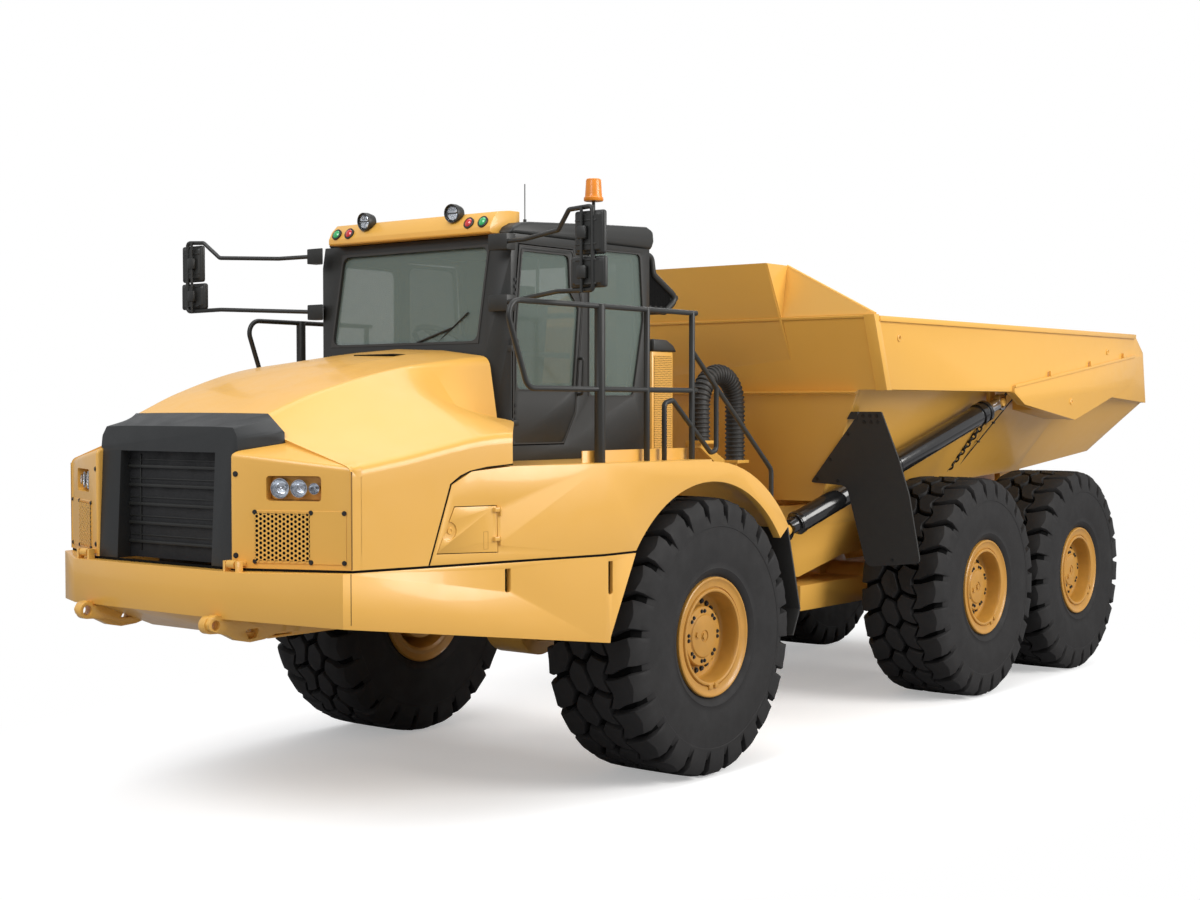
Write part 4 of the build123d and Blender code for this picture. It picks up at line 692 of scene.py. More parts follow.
def rounded(outline, radius, steps=5):
    """A closed outline with its corners rounded; a radius for all or one per corner."""
    count = len(outline)
    radii = radius if isinstance(radius, (list, tuple)) else [radius] * count
    done = []
    for i in range(count):
        before, here, after = (Vector(outline[(i + k) % count]) for k in (-1, 0, 1))
        to_before, to_after = (before - here), (after - here)
        angle = to_before.angle(to_after)
        reach = min(radii[i] / max(0.05, tan(angle / 2)), to_before.length * 0.48, to_after.length * 0.48)
        start, end = here + to_before.normalized() * reach, here + to_after.normalized() * reach
        if radii[i] <= 0.0 or reach < 0.0002:
            done.append(tuple(here))
            continue
        done += [tuple(spot) for spot in arc(start, here, end, steps)]
    return done


def rectangle(width, height):
    """A centred rectangle's outline."""
    return corners(-width / 2, width / 2, -height / 2, height / 2)


def smooth_run(points, bend, steps=6):
    """A run of points with its corners rounded."""
    points = [Vector(p) for p in points]
    done = [points[0]]
    for before, here, after in zip(points, points[1:], points[2:]):
        to_before, to_after = before - here, after - here
        reach = min(bend / max(0.1, tan(to_before.angle(to_after) / 2)), to_before.length * 0.48,
                    to_after.length * 0.48)
        start, end = here + to_before.normalized() * reach, here + to_after.normalized() * reach
        done += arc(start, here, end, steps)
    done.append(points[-1])
    return done


def tube(points, radius, segments=14):
    """A closed round tube along a run of points."""
    points = [Vector(p) for p in points]
    side = None
    rings = []
    for index, spot in enumerate(points):
        ahead = (points[min(index + 1, len(points) - 1)] - points[max(index - 1, 0)]).normalized()
        if side is None:
            side = ahead.orthogonal().normalized()
        side = (side - ahead * side.dot(ahead)).normalized()
        up = ahead.cross(side)
        rings.append([spot + side * radius * cos(2 * pi * k / segments) + up * radius * sin(2 * pi * k / segments)
                      for k in range(segments)])
    return prism(*rings)


def box_form(low, high, edge=0.0, segments=2):
    """A box between two corners, its edges rounded."""
    bm = bmesh.new()
    bmesh.ops.create_cube(bm, size=1.0)
    low, high = Vector(low), Vector(high)
    size = high - low
    bmesh.ops.scale(bm, vec=size, verts=bm.verts)
    bmesh.ops.translate(bm, vec=(low + high) / 2, verts=bm.verts)
    if edge:
        round_edges(bm, bm.edges[:], edge, segments)
    return bm


def facing_frame(origin, outward, across):
    """A matrix that puts +Z along outward and +X along across at an origin."""
    outward = Vector(outward).normalized()
    across = Vector(across)
    across = (across - outward * across.dot(outward)).normalized()
    up = outward.cross(across)
    frame_matrix = Matrix((across, up, outward)).transposed().to_4x4()
    return Matrix.Translation(Vector(origin)) @ frame_matrix


def cross_plate(outline, station, depth, chamfer=0.0):
    """A plate that stands across the truck, from an outline in width and height, ahead of a station."""
    return moved(slab(outline, 0.0, depth, chamfer), lambda spot: at(station + spot.z, spot.x, spot.y))


def across(outline, low_y, high_y, edge=0.0):
    """A form from a side outline in millimetres, between two widths, its edges rounded."""
    bm = prism(*([at(s, y, z) for s, z in outline] for y in sorted((low_y, high_y))))
    if edge:
        round_edges(bm, [e for e in bm.edges if e.calc_face_angle(0.0) > radians(25)], edge, 3)
    return bm


def quads(near, far, closed=True):
    """Faces between two matching runs of points, each a pair of runs at two depths."""
    bm = bmesh.new()
    rows = [[bm.verts.new(spot) for spot in row] for row in (*near, *reversed(far))]
    count = len(rows[0])
    for index in range(len(rows)):
        here, after = rows[index], rows[(index + 1) % len(rows)]
        for k in range(count if closed else count - 1):
            nxt = (k + 1) % count
            bm.faces.new((here[k], here[nxt], after[nxt], after[k]))
    if not closed:
        bm.faces.new([row[0] for row in rows])
        bm.faces.new([row[-1] for row in rows])
    bmesh.ops.recalc_face_normals(bm, faces=bm.faces)
    return bm


def seal_ring(outline, inset, radius, low_y, high_y):
    """A flat ring inside a side outline, its inner corners rounded."""
    outer = rounded(outline, 2.0, 6)
    inner = rounded(inset_loop(outline, inset), radius, 6)
    return quads([[at(s, y, z) for s, z in outer] for y in (low_y, high_y)],
                 [[at(s, y, z) for s, z in inner] for y in (low_y, high_y)])


def side_strip(path, half, proud, depth):
    """A strip along a run of (station, height) points in the body side."""
    upper, lower = [], []
    for index, (s, z) in enumerate(path):
        before, after = path[max(0, index - 1)], path[min(len(path) - 1, index + 1)]
        run = Vector((after[0] - before[0], after[1] - before[1])).normalized() * half
        upper.append((s - run.y, z + run.x))
        lower.append((s + run.y, z - run.x))

    def rows(points):
        return [[at(s, body_side(s) + out, z) for s, z in points] for out in (-depth, proud)]

    return quads(rows(upper), rows(lower), closed=False)


def plan_strip(path, thickness, low_z, high_z):
    """An upright strip along a run of (station, width) points, its thickness inward."""
    inner = []
    for index, (s, y) in enumerate(path):
        before, after = path[max(0, index - 1)], path[min(len(path) - 1, index + 1)]
        run = Vector((after[0] - before[0], after[1] - before[1])).normalized() * thickness
        inner.append((s + run.y, y - run.x))
    return quads([[at(s, y, z) for s, y in path] for z in (low_z, high_z)],
                 [[at(s, y, z) for s, y in inner] for z in (low_z, high_z)], closed=False)


def block_between(low_corners, high_corners, edge=0.0):
    """A six-sided block from four low and four high corners."""
    bm = prism(*([at(*corner) for corner in run] for run in (low_corners, high_corners)))
    if edge:
        round_edges(bm, bm.edges[:], edge)
    return bm


def patched(name, node, inside):
    """A copy of a CAD node without the faces that lie wholly inside a region, its openings closed."""
    bm = bmesh.new()
    bm.from_mesh(frame["nodes"][node].data)
    bmesh.ops.remove_doubles(bm, verts=bm.verts, dist=0.00002)
    gone = [face for face in bm.faces if all(inside(vert.co) for vert in face.verts)]
    bmesh.ops.delete(bm, geom=gone, context="FACES")
    open_edges = [edge for edge in bm.edges if len(edge.link_faces) == 1]
    bmesh.ops.holes_fill(bm, edges=open_edges, sides=0)
    bmesh.ops.dissolve_limit(bm, angle_limit=radians(0.3), verts=bm.verts, edges=bm.edges)
    loose = [vert for vert in bm.verts if not vert.link_faces]
    bmesh.ops.delete(bm, geom=loose, context="VERTS")
    piece = object_from(name, bm)
    piece.data.materials.clear()
    return piece


def carve(piece, form):
    """Take a form out of a piece."""
    cutter = object_from("cutter", form)
    modifier = piece.modifiers.new("Cut", "BOOLEAN")
    modifier.operation = "DIFFERENCE"
    modifier.solver = "EXACT"
    modifier.object = cutter
    solidify(piece)
    bpy.data.objects.remove(cutter)


def carve_sides(piece, outline, inner, outer):
    """Cut an opening through both sides of an object, the left first."""
    for side in (1, -1):
        carve(piece, across(outline, side * inner, side * outer))


class Assembly:
    """One piece put together from several forms and finishes."""

    def __init__(self, name):
        self.name = name
        self.bm = bmesh.new()
        self.finishes = []

    def add(self, form, finish, matrix=None, mirrored=False):
        """Add a bmesh or a mesh in its place; mirrored flips it across the centre plane too."""
        if isinstance(form, bmesh.types.BMesh):
            mesh = mesh_from("form", form)
        else:
            mesh = form
        if finish not in self.finishes:
            self.finishes.append(finish)
        sides = (False, True) if mirrored else (False,)
        for flipped in sides:
            part = bmesh.new()
            part.from_mesh(mesh)
            if matrix is not None:
                bmesh.ops.transform(part, matrix=matrix, verts=part.verts)
            if flipped:
                bmesh.ops.transform(part, matrix=Matrix.Diagonal((1, -1, 1, 1)), verts=part.verts)
            if flipped != (matrix is not None and matrix.determinant() < 0):
                bmesh.ops.reverse_faces(part, faces=part.faces)
            for face in part.faces:
                face.material_index = self.finishes.index(finish)
            copy = mesh_from("form", part)
            self.bm.from_mesh(copy)
            bpy.data.meshes.remove(copy)
        return self

    def done(self, body, slot, replaced=(), angle=35.0):
        """Make the piece and give it its body and CAD nodes; the slot is not used."""
        mesh = mesh_from(self.name, self.bm)
        for finish in self.finishes:
            mesh.materials.append(finish)
        shade(mesh, angle)
        return place(bpy.data.objects.new(self.name, mesh), body, slot, None, replaced)


# ==== operators ===================================================================================
class HAULER_OT_stage(bpy.types.Operator):
    """Lay the floor, hang the lights and stand the camera"""
    bl_idname = "hauler.stage"
    bl_label = "Stage"

    def execute(self, context):
        settings = context.scene.hauler_stage
        scene = context.scene
        scene.view_settings.view_transform = "Standard"
        world = bpy.data.worlds.new("Studio")
        scene.world = world
        world.use_nodes = True
        tree = world.node_tree
        soft = tree.nodes["Background"]
        fill(tree, soft, {"Color": (0.97, 0.98, 1.0, 1.0), "Strength": 0.60})
        white = add_node(tree, "ShaderNodeBackground", {"Color": (1.0, 1.0, 1.0, 1.0), "Strength": 1.0})
        rays = add_node(tree, "ShaderNodeLightPath")
        seen = add_node(tree, "ShaderNodeMath", {0: rays["Is Camera Ray"], 1: rays["Is Transmission Ray"]},
                        operation="MAXIMUM")
        either = add_node(tree, "ShaderNodeMixShader", {"Fac": seen["Value"], 1: soft.outputs["Background"],
                                                        2: white["Background"]})
        fill(tree, tree.nodes["World Output"], {"Surface": either["Shader"]})
        self.floor()
        middle = Vector((0.0, 0.0, 1.8))
        # name, place, size, power, colour
        lamps = (
            ("Key_Light", (-2.0, 14.0, 8.0), 9.0, 1750.0, (1.0, 0.985, 0.96)),
            ("Front_Light", (11.0, 1.0, 9.5), 6.0, 560.0, (0.98, 0.985, 1.0)),
            ("Top_Light", (0.0, 0.0, 14.0), 11.0, 560.0, (1.0, 1.0, 1.0)),
            ("Back_Light", (-12.0, -9.0, 8.0), 8.0, 420.0, (1.0, 1.0, 1.0)),
        )
        for name, spot, size, power, tint in lamps:
            data = bpy.data.lights.new(name, "AREA")
            data.shape, data.size, data.energy, data.color = "DISK", size, power, tint
            lamp = bpy.data.objects.new(name, data)
            lamp.location = spot
            lamp.rotation_euler = (middle - Vector(spot)).to_track_quat("-Z", "Y").to_euler()
            scene.collection.objects.link(lamp)
        data = bpy.data.cameras.new("Camera")
        data.lens = settings.lens
        data.sensor_width = 36.0
        data.shift_x = -0.016
        data.shift_y = 0.011
        data.clip_end = 200.0
        camera = bpy.data.objects.new("Camera", data)
        camera.location = settings.camera_place
        heading = Vector((cos(settings.camera_pitch) * cos(settings.camera_yaw),
                          cos(settings.camera_pitch) * sin(settings.camera_yaw), sin(settings.camera_pitch)))
        camera.rotation_euler = heading.to_track_quat("-Z", "Y").to_euler()
        scene.collection.objects.link(camera)
        scene.camera = camera
        return {"FINISHED"}

    def floor(self):
        """A pale floor that looks white and keeps the shadow."""
        bm = bmesh.new()
        bmesh.ops.create_circle(bm, cap_ends=True, segments=96, radius=60.0)
        bmesh.ops.translate(bm, verts=bm.verts, vec=(0.0, 0.0, -0.0005))
        mesh = mesh_from("Floor", bm)
        floor = bpy.data.objects.new("Floor", mesh)
        made = bpy.data.materials.new("Floor_White")
        made.use_nodes = True
        tree = made.node_tree
        bounce = add_node(tree, "ShaderNodeBsdfDiffuse", {"Color": (0.34, 0.34, 0.35, 1.0)})
        shader = tree.nodes["Principled BSDF"]
        fill(tree, shader, {"Base Color": (0.86, 0.86, 0.86, 1.0), "Roughness": 0.9, "Specular IOR Level": 0.0})
        glow = add_node(tree, "ShaderNodeEmission", {"Strength": 0.34})
        lit = add_node(tree, "ShaderNodeAddShader", {0: shader.outputs["BSDF"], 1: glow["Emission"]})
        white = add_node(tree, "ShaderNodeEmission")
        place = add_node(tree, "ShaderNodeTexCoord")["Object"]
        spread = add_node(tree, "ShaderNodeVectorMath", {0: place, 1: (0.62, 1.0, 1.0)}, operation="MULTIPLY")
        away = add_node(tree, "ShaderNodeVectorMath", {0: spread["Vector"]}, operation="LENGTH")
        fade = add_node(tree, "ShaderNodeMapRange", {"From Min": 2.2, "From Max": 4.4, "Value": away["Value"]},
                        interpolation_type="SMOOTHSTEP")
        seen = add_node(tree, "ShaderNodeMixShader", {"Fac": fade["Result"], 1: lit["Shader"], 2: white["Emission"]})
        rays = add_node(tree, "ShaderNodeLightPath")
        either = add_node(tree, "ShaderNodeMixShader", {"Fac": rays["Is Camera Ray"], 1: bounce["BSDF"],
                                                        2: seen["Shader"]})
        fill(tree, tree.nodes["Material Output"], {"Surface": either["Shader"]})
        mesh.materials.append(made)
        bpy.context.scene.collection.objects.link(floor)


class HAULER_OT_painted_panels(bpy.types.Operator):
    """Paint the frames, axles, skid plate, fenders, hitch and bed floor, with rounded edges"""
    bl_idname = "hauler.painted_panels"
    bl_label = "Painted panels"

    def execute(self, context):
        for node in ("front_frame", "front_axle", "skid_plate", "fender_left", "fender_right", "hitch", "rear_frame",
                     "rear_axles", "bed_floor"):
            dress(node, paint(), 0.006 if node == "rear_axles" else 0.004)
        return {"FINISHED"}


class HAULER_OT_black_panels(bpy.types.Operator):
    """Finish the handrails, front flaps, hoist cylinders, engine, cab interior and cab glass"""
    bl_idname = "hauler.black_panels"
    bl_label = "Black panels"

    def execute(self, context):
        dress("handrails", satin_black(), 0.003)
        dress("front_mudflaps", sheet_rubber(), 0.002)
        for hand, _ in HANDS:
            dress(f"hoist_barrel_{hand}", cylinder_black(), 0.003)
            dress(f"hoist_stage_{hand}", bare_steel(), 0.002)
            dress(f"hoist_rod_{hand}", bare_steel(), 0.002)
        dress("engine", iron(), 0.01)
        dress("cab_interior", trim_plastic(), 0.01)
        pane = frame["nodes"]["cab_glass"]
        pane.data.materials.clear()
        pane.data.materials.append(cab_glass())
        return {"FINISHED"}


def crown_profile(half_width, radius):
    """Outer tyre profile from the centre line outward: (distance along, out, radius)."""
    points = [(0.0, radius), (0.20, radius - 0.001), (0.290, radius - 0.004), (0.325, radius - 0.012),
              (0.350, radius - 0.030), (0.362, radius - 0.055), (0.369, radius - 0.100), (0.3735, radius - 0.150),
              (0.3740, radius - 0.180)]
    scale = half_width / 0.375
    rows = []
    run = 0.0
    for index, (out, high) in enumerate(points):
        if index:
            before = points[index - 1]
            run += hypot((out - before[0]) * scale, high - before[1])
        rows.append((run, out * scale, high))
    return rows


def on_profile(rows, run):
    """Point and outward normal on a profile at a distance from the centre line."""
    side = 1.0 if run >= 0.0 else -1.0
    run = abs(run)
    for (run_a, out_a, high_a), (run_b, out_b, high_b) in zip(rows, rows[1:]):
        if run <= run_b or run_b == rows[-1][0]:
            share = (run - run_a) / (run_b - run_a)
            out, high = out_a + (out_b - out_a) * share, high_a + (high_b - high_a) * share
            step = hypot(out_b - out_a, high_b - high_a)
            normal = ((high_a - high_b) / step * side, (out_b - out_a) / step)
            return out * side, high, normal
    return None


# width in metres over which the tread fades out at each shoulder
SHOULDER_WIDTH = 0.150


class TyreBuilder:
    """One tyre, from its lathed case and its tread blocks."""

    def __init__(self, settings, half_width, radius, bead_radius):
        self.rows = crown_profile(half_width, radius)
        self.reach = self.rows[-1][0]
        self.radius = radius
        self.half_width = half_width
        self.bead_radius = bead_radius
        self.pitch = 2 * pi / settings.pitches
        self.pitches = settings.pitches
        self.depth = settings.depth
        self.half_groove = settings.groove / 2
        self.wave = settings.wave

    def fade(self, run):
        """Share of the tread depth at a distance from the centre line."""
        shoulder = self.reach - SHOULDER_WIDTH
        return 1.0 if abs(run) < shoulder else max(0.0, 1.0 - (abs(run) - shoulder) / SHOULDER_WIDTH)

    def swing(self, run):
        """How far the main groove lies along the tread, at a distance from the centre line."""
        edge = 0.30
        inside = max(-1.0, min(1.0, run / edge))
        return self.wave * sin(inside * pi * 0.98)

    def point(self, run, along, lift):
        """A point of the tread, lift metres below the outer profile."""
        out, high, normal = on_profile(self.rows, run)
        out, high = out - normal[0] * lift, high - normal[1] * lift
        angle = along / self.radius
        return Vector((high * sin(angle), out, high * cos(angle)))

    def block(self, bm, near, far, low, high, start):
        """A tread block between two distances from the centre line and two positions along the tread."""
        across, around = 6, 5
        chamfer = 0.004

        def spot(s, t, pull, lift):
            run_low = near(t) + (far(t) - near(t)) * s
            span = max(abs(far(t) - near(t)), 0.01)
            run = run_low + (0.5 - s) * 2 * pull * (1.0 if span > 0.02 else 0.0)
            bottom, top = low(run), high(run)
            along = bottom + (top - bottom) * t + (0.5 - t) * 2 * pull
            return self.point(run, start + along, lift * self.fade(run))

        grid = [[bm.verts.new(spot(i / across, j / around, chamfer, 0.0)) for j in range(around + 1)]
                for i in range(across + 1)]
        for i in range(across):
            for j in range(around):
                bm.faces.new((grid[i][j], grid[i + 1][j], grid[i + 1][j + 1], grid[i][j + 1]))
        rim = ([(i, 0) for i in range(across)] + [(across, j) for j in range(around)]
               + [(i, around) for i in range(across, 0, -1)] + [(0, j) for j in range(around, 0, -1)])
        rings = [[grid[i][j] for i, j in rim]]
        for pull, lift in ((0.0, chamfer * 1.2), (-0.004, self.depth + 0.003)):
            rings.append([bm.verts.new(spot(i / across, j / around, pull, lift)) for i, j in rim])
        for upper, lower in zip(rings, rings[1:]):
            for index in range(len(rim)):
                after = (index + 1) % len(rim)
                bm.faces.new((upper[index], lower[index], lower[after], upper[after]))

    def tread(self):
        """All tread blocks of one tyre."""
        bm = bmesh.new()
        step = self.pitch * self.radius
        quarter = 0.150

        def half_gap(run):
            """Half the main groove, wider towards the shoulder."""
            return self.half_groove * (1.0 + 0.4 * (abs(run) > 0.25))

        def low(run):
            return self.swing(run) + half_gap(run)

        def high(run):
            return self.swing(run) + step - half_gap(run)

        def edge(at_run, phase, gap):
            """A zigzag column edge, as a function of the share of the pitch."""
            return lambda t: at_run + 0.052 * (0.5 - abs(2.0 * ((t + phase) % 1.0) - 1.0)) + gap

        outer = self.reach - 0.001
        gap = 0.014
        # inner edge, outer edge, start as a share of the pitch
        columns = (
            (lambda t: -outer, edge(-quarter, 0.0, -gap), 0.0),
            (edge(-quarter, 0.5, gap), edge(0.0, 0.0, -gap), 0.5),
            (edge(0.0, 0.5, gap), edge(quarter, 0.5, -gap), 0.0),
            (edge(quarter, 0.0, gap), lambda t: outer, 0.5),
        )
        for row in range(self.pitches):
            for near, far, start in columns:
                self.block(bm, near, far, low, high, (row + start) * step)
        return bm

    def case(self):
        """The tyre's lathed case, tread floor included."""
        profile = []
        for run in (0.0, 0.10, 0.20, 0.26, 0.30, 0.335, 0.365, 0.395, self.reach - 0.06, self.reach - 0.002):
            out, high, normal = on_profile(self.rows, run)
            lift = self.depth * self.fade(run)
            profile.append((out - normal[0] * lift, high - normal[1] * lift))
        wide = self.half_width
        profile += [(wide - 0.0015, 0.752), (wide - 0.001, 0.742), (wide - 0.0045, 0.738), (wide - 0.003, 0.700),
                    (wide - 0.001, 0.650), (wide - 0.002, 0.600), (wide - 0.007, 0.550), (wide - 0.014, 0.505),
                    (wide - 0.020, 0.470), (wide - 0.0155, 0.462), (wide - 0.020, 0.452), (wide - 0.034, 0.424),
                    (wide - 0.052, 0.4115), (0.3180, self.bead_radius)]
        closed = profile + [(-out, high) for out, high in reversed(profile[1:])]
        segments = 120
        bm = bmesh.new()
        rings = spun(bm, closed, segments)
        shaded_floor_faces = []
        for turn in range(segments):
            here, after = rings[turn], rings[(turn + 1) % segments]
            for index in range(len(closed)):
                nxt = (index + 1) % len(closed)
                face = bm.faces.new((here[index], here[nxt], after[nxt], after[index]))
                # faces of the tread floor, later given the darker rubber: painted shade
                if min(abs(closed[index][0]), abs(closed[nxt][0])) < 0.345 and closed[index][1] > 0.80:
                    shaded_floor_faces.append(face)
        return bm, shaded_floor_faces


class HAULER_OT_tyres(bpy.types.Operator):
    """Build the six tyres with their tread blocks"""
    bl_idname = "hauler.tyres"
    bl_label = "Tyres"

    def execute(self, context):
        low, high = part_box("tyre_front_left")
        half_width = (high.y - low.y) / 2
        radius = (high.z - low.z) / 2
        builder = TyreBuilder(context.scene.hauler_tyre, half_width, radius, 0.3185)
        tread = builder.tread()
        case, shaded_floor_faces = builder.case()
        # the tread floor takes the second material: painted shade in the grooves
        for face in shaded_floor_faces:
            face.material_index = 1
        tread_mesh = mesh_object("tread", tread, 40.0, 0.00001).data
        case_mesh = mesh_object("case", case, 40.0).data
        for axle in AXLES:
            for hand, side in HANDS:
                node = f"tyre_{axle}_{hand}"
                low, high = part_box(node)
                centre = (low + high) / 2
                bm = bmesh.new()
                bm.from_mesh(case_mesh)
                bm.from_mesh(tread_mesh)
                turn = Matrix.Rotation(0.11 * (AXLES.index(axle) * 2 + (side < 0)), 4, "Y")
                flip = Matrix.Diagonal((1.0, side, 1.0, 1.0))
                bmesh.ops.transform(bm, verts=bm.verts, matrix=Matrix.Translation(centre) @ turn @ flip)
                if side < 0:
                    bmesh.ops.reverse_faces(bm, faces=bm.faces)
                mesh = mesh_from(f"tyre_{axle}_{hand}_treaded", bm)
                shade(mesh, 40.0)
                mesh.materials.append(tyre_rubber())
                mesh.materials.append(groove_painted_shade())
                piece = bpy.data.objects.new(mesh.name, mesh)
                place(piece, body_of(node), "tyre_rubber", None, (node,))
        return {"FINISHED"}


RIM_FACE = (
    (0.2610, 0.0000), (0.2610, 0.0380), (0.2690, 0.0420), (0.2690, 0.1300), (0.2660, 0.1400), (0.2590, 0.1440),
    (0.2550, 0.1500), (0.2550, 0.1880), (0.2530, 0.1960), (0.2450, 0.2020), (0.2020, 0.2060), (0.1950, 0.2140),
    (0.1950, 0.2700), (0.1980, 0.2840), (0.2080, 0.2930), (0.2200, 0.2960), (0.3100, 0.2985), (0.3290, 0.3010),
    (0.3380, 0.3050), (0.3410, 0.3140), (0.3390, 0.3230), (0.3320, 0.3270), (0.3235, 0.3290), (0.3240, 0.3350),
    (0.3310, 0.3370), (0.3320, 0.3480), (0.3350, 0.3660), (0.3410, 0.3790), (0.3485, 0.3880), (0.3495, 0.3950),
    (0.3450, 0.4020), (0.3350, 0.4045), (0.3180, 0.4030), (0.3180, 0.3175),
)
RIM_BACK = (
    (-0.3180, 0.3175), (-0.3180, 0.4030), (-0.3350, 0.4045), (-0.3495, 0.3950), (-0.3410, 0.3790),
    (-0.3320, 0.3480), (-0.3390, 0.3230), (-0.3290, 0.3010), (-0.3100, 0.2985), (0.1600, 0.2960),
    (0.1600, 0.2550), (0.1000, 0.2350), (0.1000, 0.1120), (0.2000, 0.1120), (0.2000, 0.0000),
)


class HAULER_OT_rims(bpy.types.Operator):
    """Build the six rims with their lock rings, hubs and bolts"""
    bl_idname = "hauler.rims"
    bl_label = "Rims"

    def execute(self, context):
        sizes = context.scene.hauler_wheel
        rings = (
            (sizes.bolts, 0.0, sizes.bolt_circle, 0.1950, sizes.bolt_radius, 0.014, dark_steel()),
            (8, 0.1, 0.168, 0.2550, 0.0105, 0.009, dark_steel()),
            (8, -0.1, 0.168, 0.2550, 0.0105, 0.009, dark_steel()),
            (1, 1.4, 0.088, 0.2690, 0.0200, 0.010, wheel_paint()),
            (1, 0.0, 0.000, 0.2610, 0.0240, 0.012, wheel_paint()),
        )
        for axle in AXLES:
            for hand, side in HANDS:
                low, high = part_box(f"tyre_{axle}_{hand}")
                turn = Matrix.Rotation(0.23 * (AXLES.index(axle) * 2 + (side < 0)), 4, "Y")
                seat = Matrix.Translation((low + high) / 2) @ Matrix.Diagonal((1.0, side, 1.0, 1.0)) @ turn
                piece = Assembly(f"rim_{axle}_{hand}_finished")
                piece.add(lathe(RIM_FACE + RIM_BACK, 72), wheel_paint(), seat)
                for count, start, circle, out, size, height, finish in rings:
                    spots = [(Vector((circle * sin(a), out, circle * cos(a))), (0.0, 1.0, 0.0))
                             for a in (start + 2 * pi * k / count for k in range(count))]
                    piece.add(fasteners(spots, size, height, finish), finish, seat)
                for corner, far in (((-0.052, 0.316, -0.346), (-0.012, 0.348, -0.304)),
                                    ((0.004, 0.316, -0.350), (0.050, 0.344, -0.310))):
                    piece.add(box_form(corner, far, 0.006), wheel_paint(), seat)
                piece.done(f"wheel_{axle}_{hand}", "rim_paint", (f"rim_{axle}_{hand}",), 30.0)
        return {"FINISHED"}


# ==== hood ========================================================================================
# station, centre height, crown width, crown height, crease width, crease height, shoulder height
HOOD_SECTIONS = (
    (2914.0, 2440.0, 610.0, 2436.0, 750.0, 2290.0, 2138.0),
    (2586.0, 2575.0, 650.0, 2560.0, 850.0, 2397.0, 2190.0),
    (2060.0, 2735.0, 730.0, 2700.0, 990.0, 2540.0, 2290.0),
    (1600.0, 2812.0, 790.0, 2765.0, 940.0, 2450.0, 2325.0),
    (1262.0, 2860.0, 810.0, 2795.0, 880.0, 2385.0, 2325.0),
)
POD_NOSE = Vector((3200.0, 612.3))
POD_CORNER = Vector((2905.0, 1295.4))
POD_BASE_Z = 1575.0
# the middle of the lamp recess, along the pod's face and up
LAMP_ALONG, LAMP_HEIGHT = 389.5, 2022.0
# the body sides run straight back from the fold, and narrow from it to the nose
BODY_HALF_WIDTH, NOSE_HALF_WIDTH = 1700.0, 1280.0
FOLD_STATION, NOSE_STATION = 1200.0, 2970.0


def body_side(station):
    """Half width of the body sides at a station ahead of the fold, in millimetres."""
    taper = (BODY_HALF_WIDTH - NOSE_HALF_WIDTH) / (NOSE_STATION - FOLD_STATION)
    return BODY_HALF_WIDTH - taper * max(0.0, station - FOLD_STATION)


def between(rows, station):
    """A row of values at a station, on a smooth run through the table's rows."""
    for index in range(len(rows) - 1):
        if rows[index][0] >= station >= rows[index + 1][0]:
            break
    here, after = rows[index], rows[index + 1]
    before, beyond = rows[max(0, index - 1)], rows[min(len(rows) - 1, index + 2)]
    span = after[0] - here[0]
    t = (station - here[0]) / span
    done = []
    for k in range(1, len(here)):
        lean_in = (after[k] - before[k]) / (after[0] - before[0]) * span
        lean_out = (beyond[k] - here[k]) / (beyond[0] - here[0]) * span
        done.append(here[k] * (2 * t ** 3 - 3 * t ** 2 + 1) + lean_in * (t ** 3 - 2 * t ** 2 + t)
                    + after[k] * (3 * t ** 2 - 2 * t ** 3) + lean_out * (t ** 3 - t ** 2))
    return done


def face_matrix(along, height, setback=0.0, side=1):
    """Matrix of the left pod's face: X along it from its inner edge, Y up, Z outward; millimetres in, metres out."""
    run = (POD_CORNER - POD_NOSE).normalized()
    spot = POD_NOSE + run * along
    outward = Vector((run.y, -run.x, 0.0))
    origin = at(spot.x, spot.y, height) - outward * setback / 1000.0
    return Matrix.Diagonal((1, side, 1, 1)) @ facing_frame(origin, outward, (run.x, run.y, 0.0))


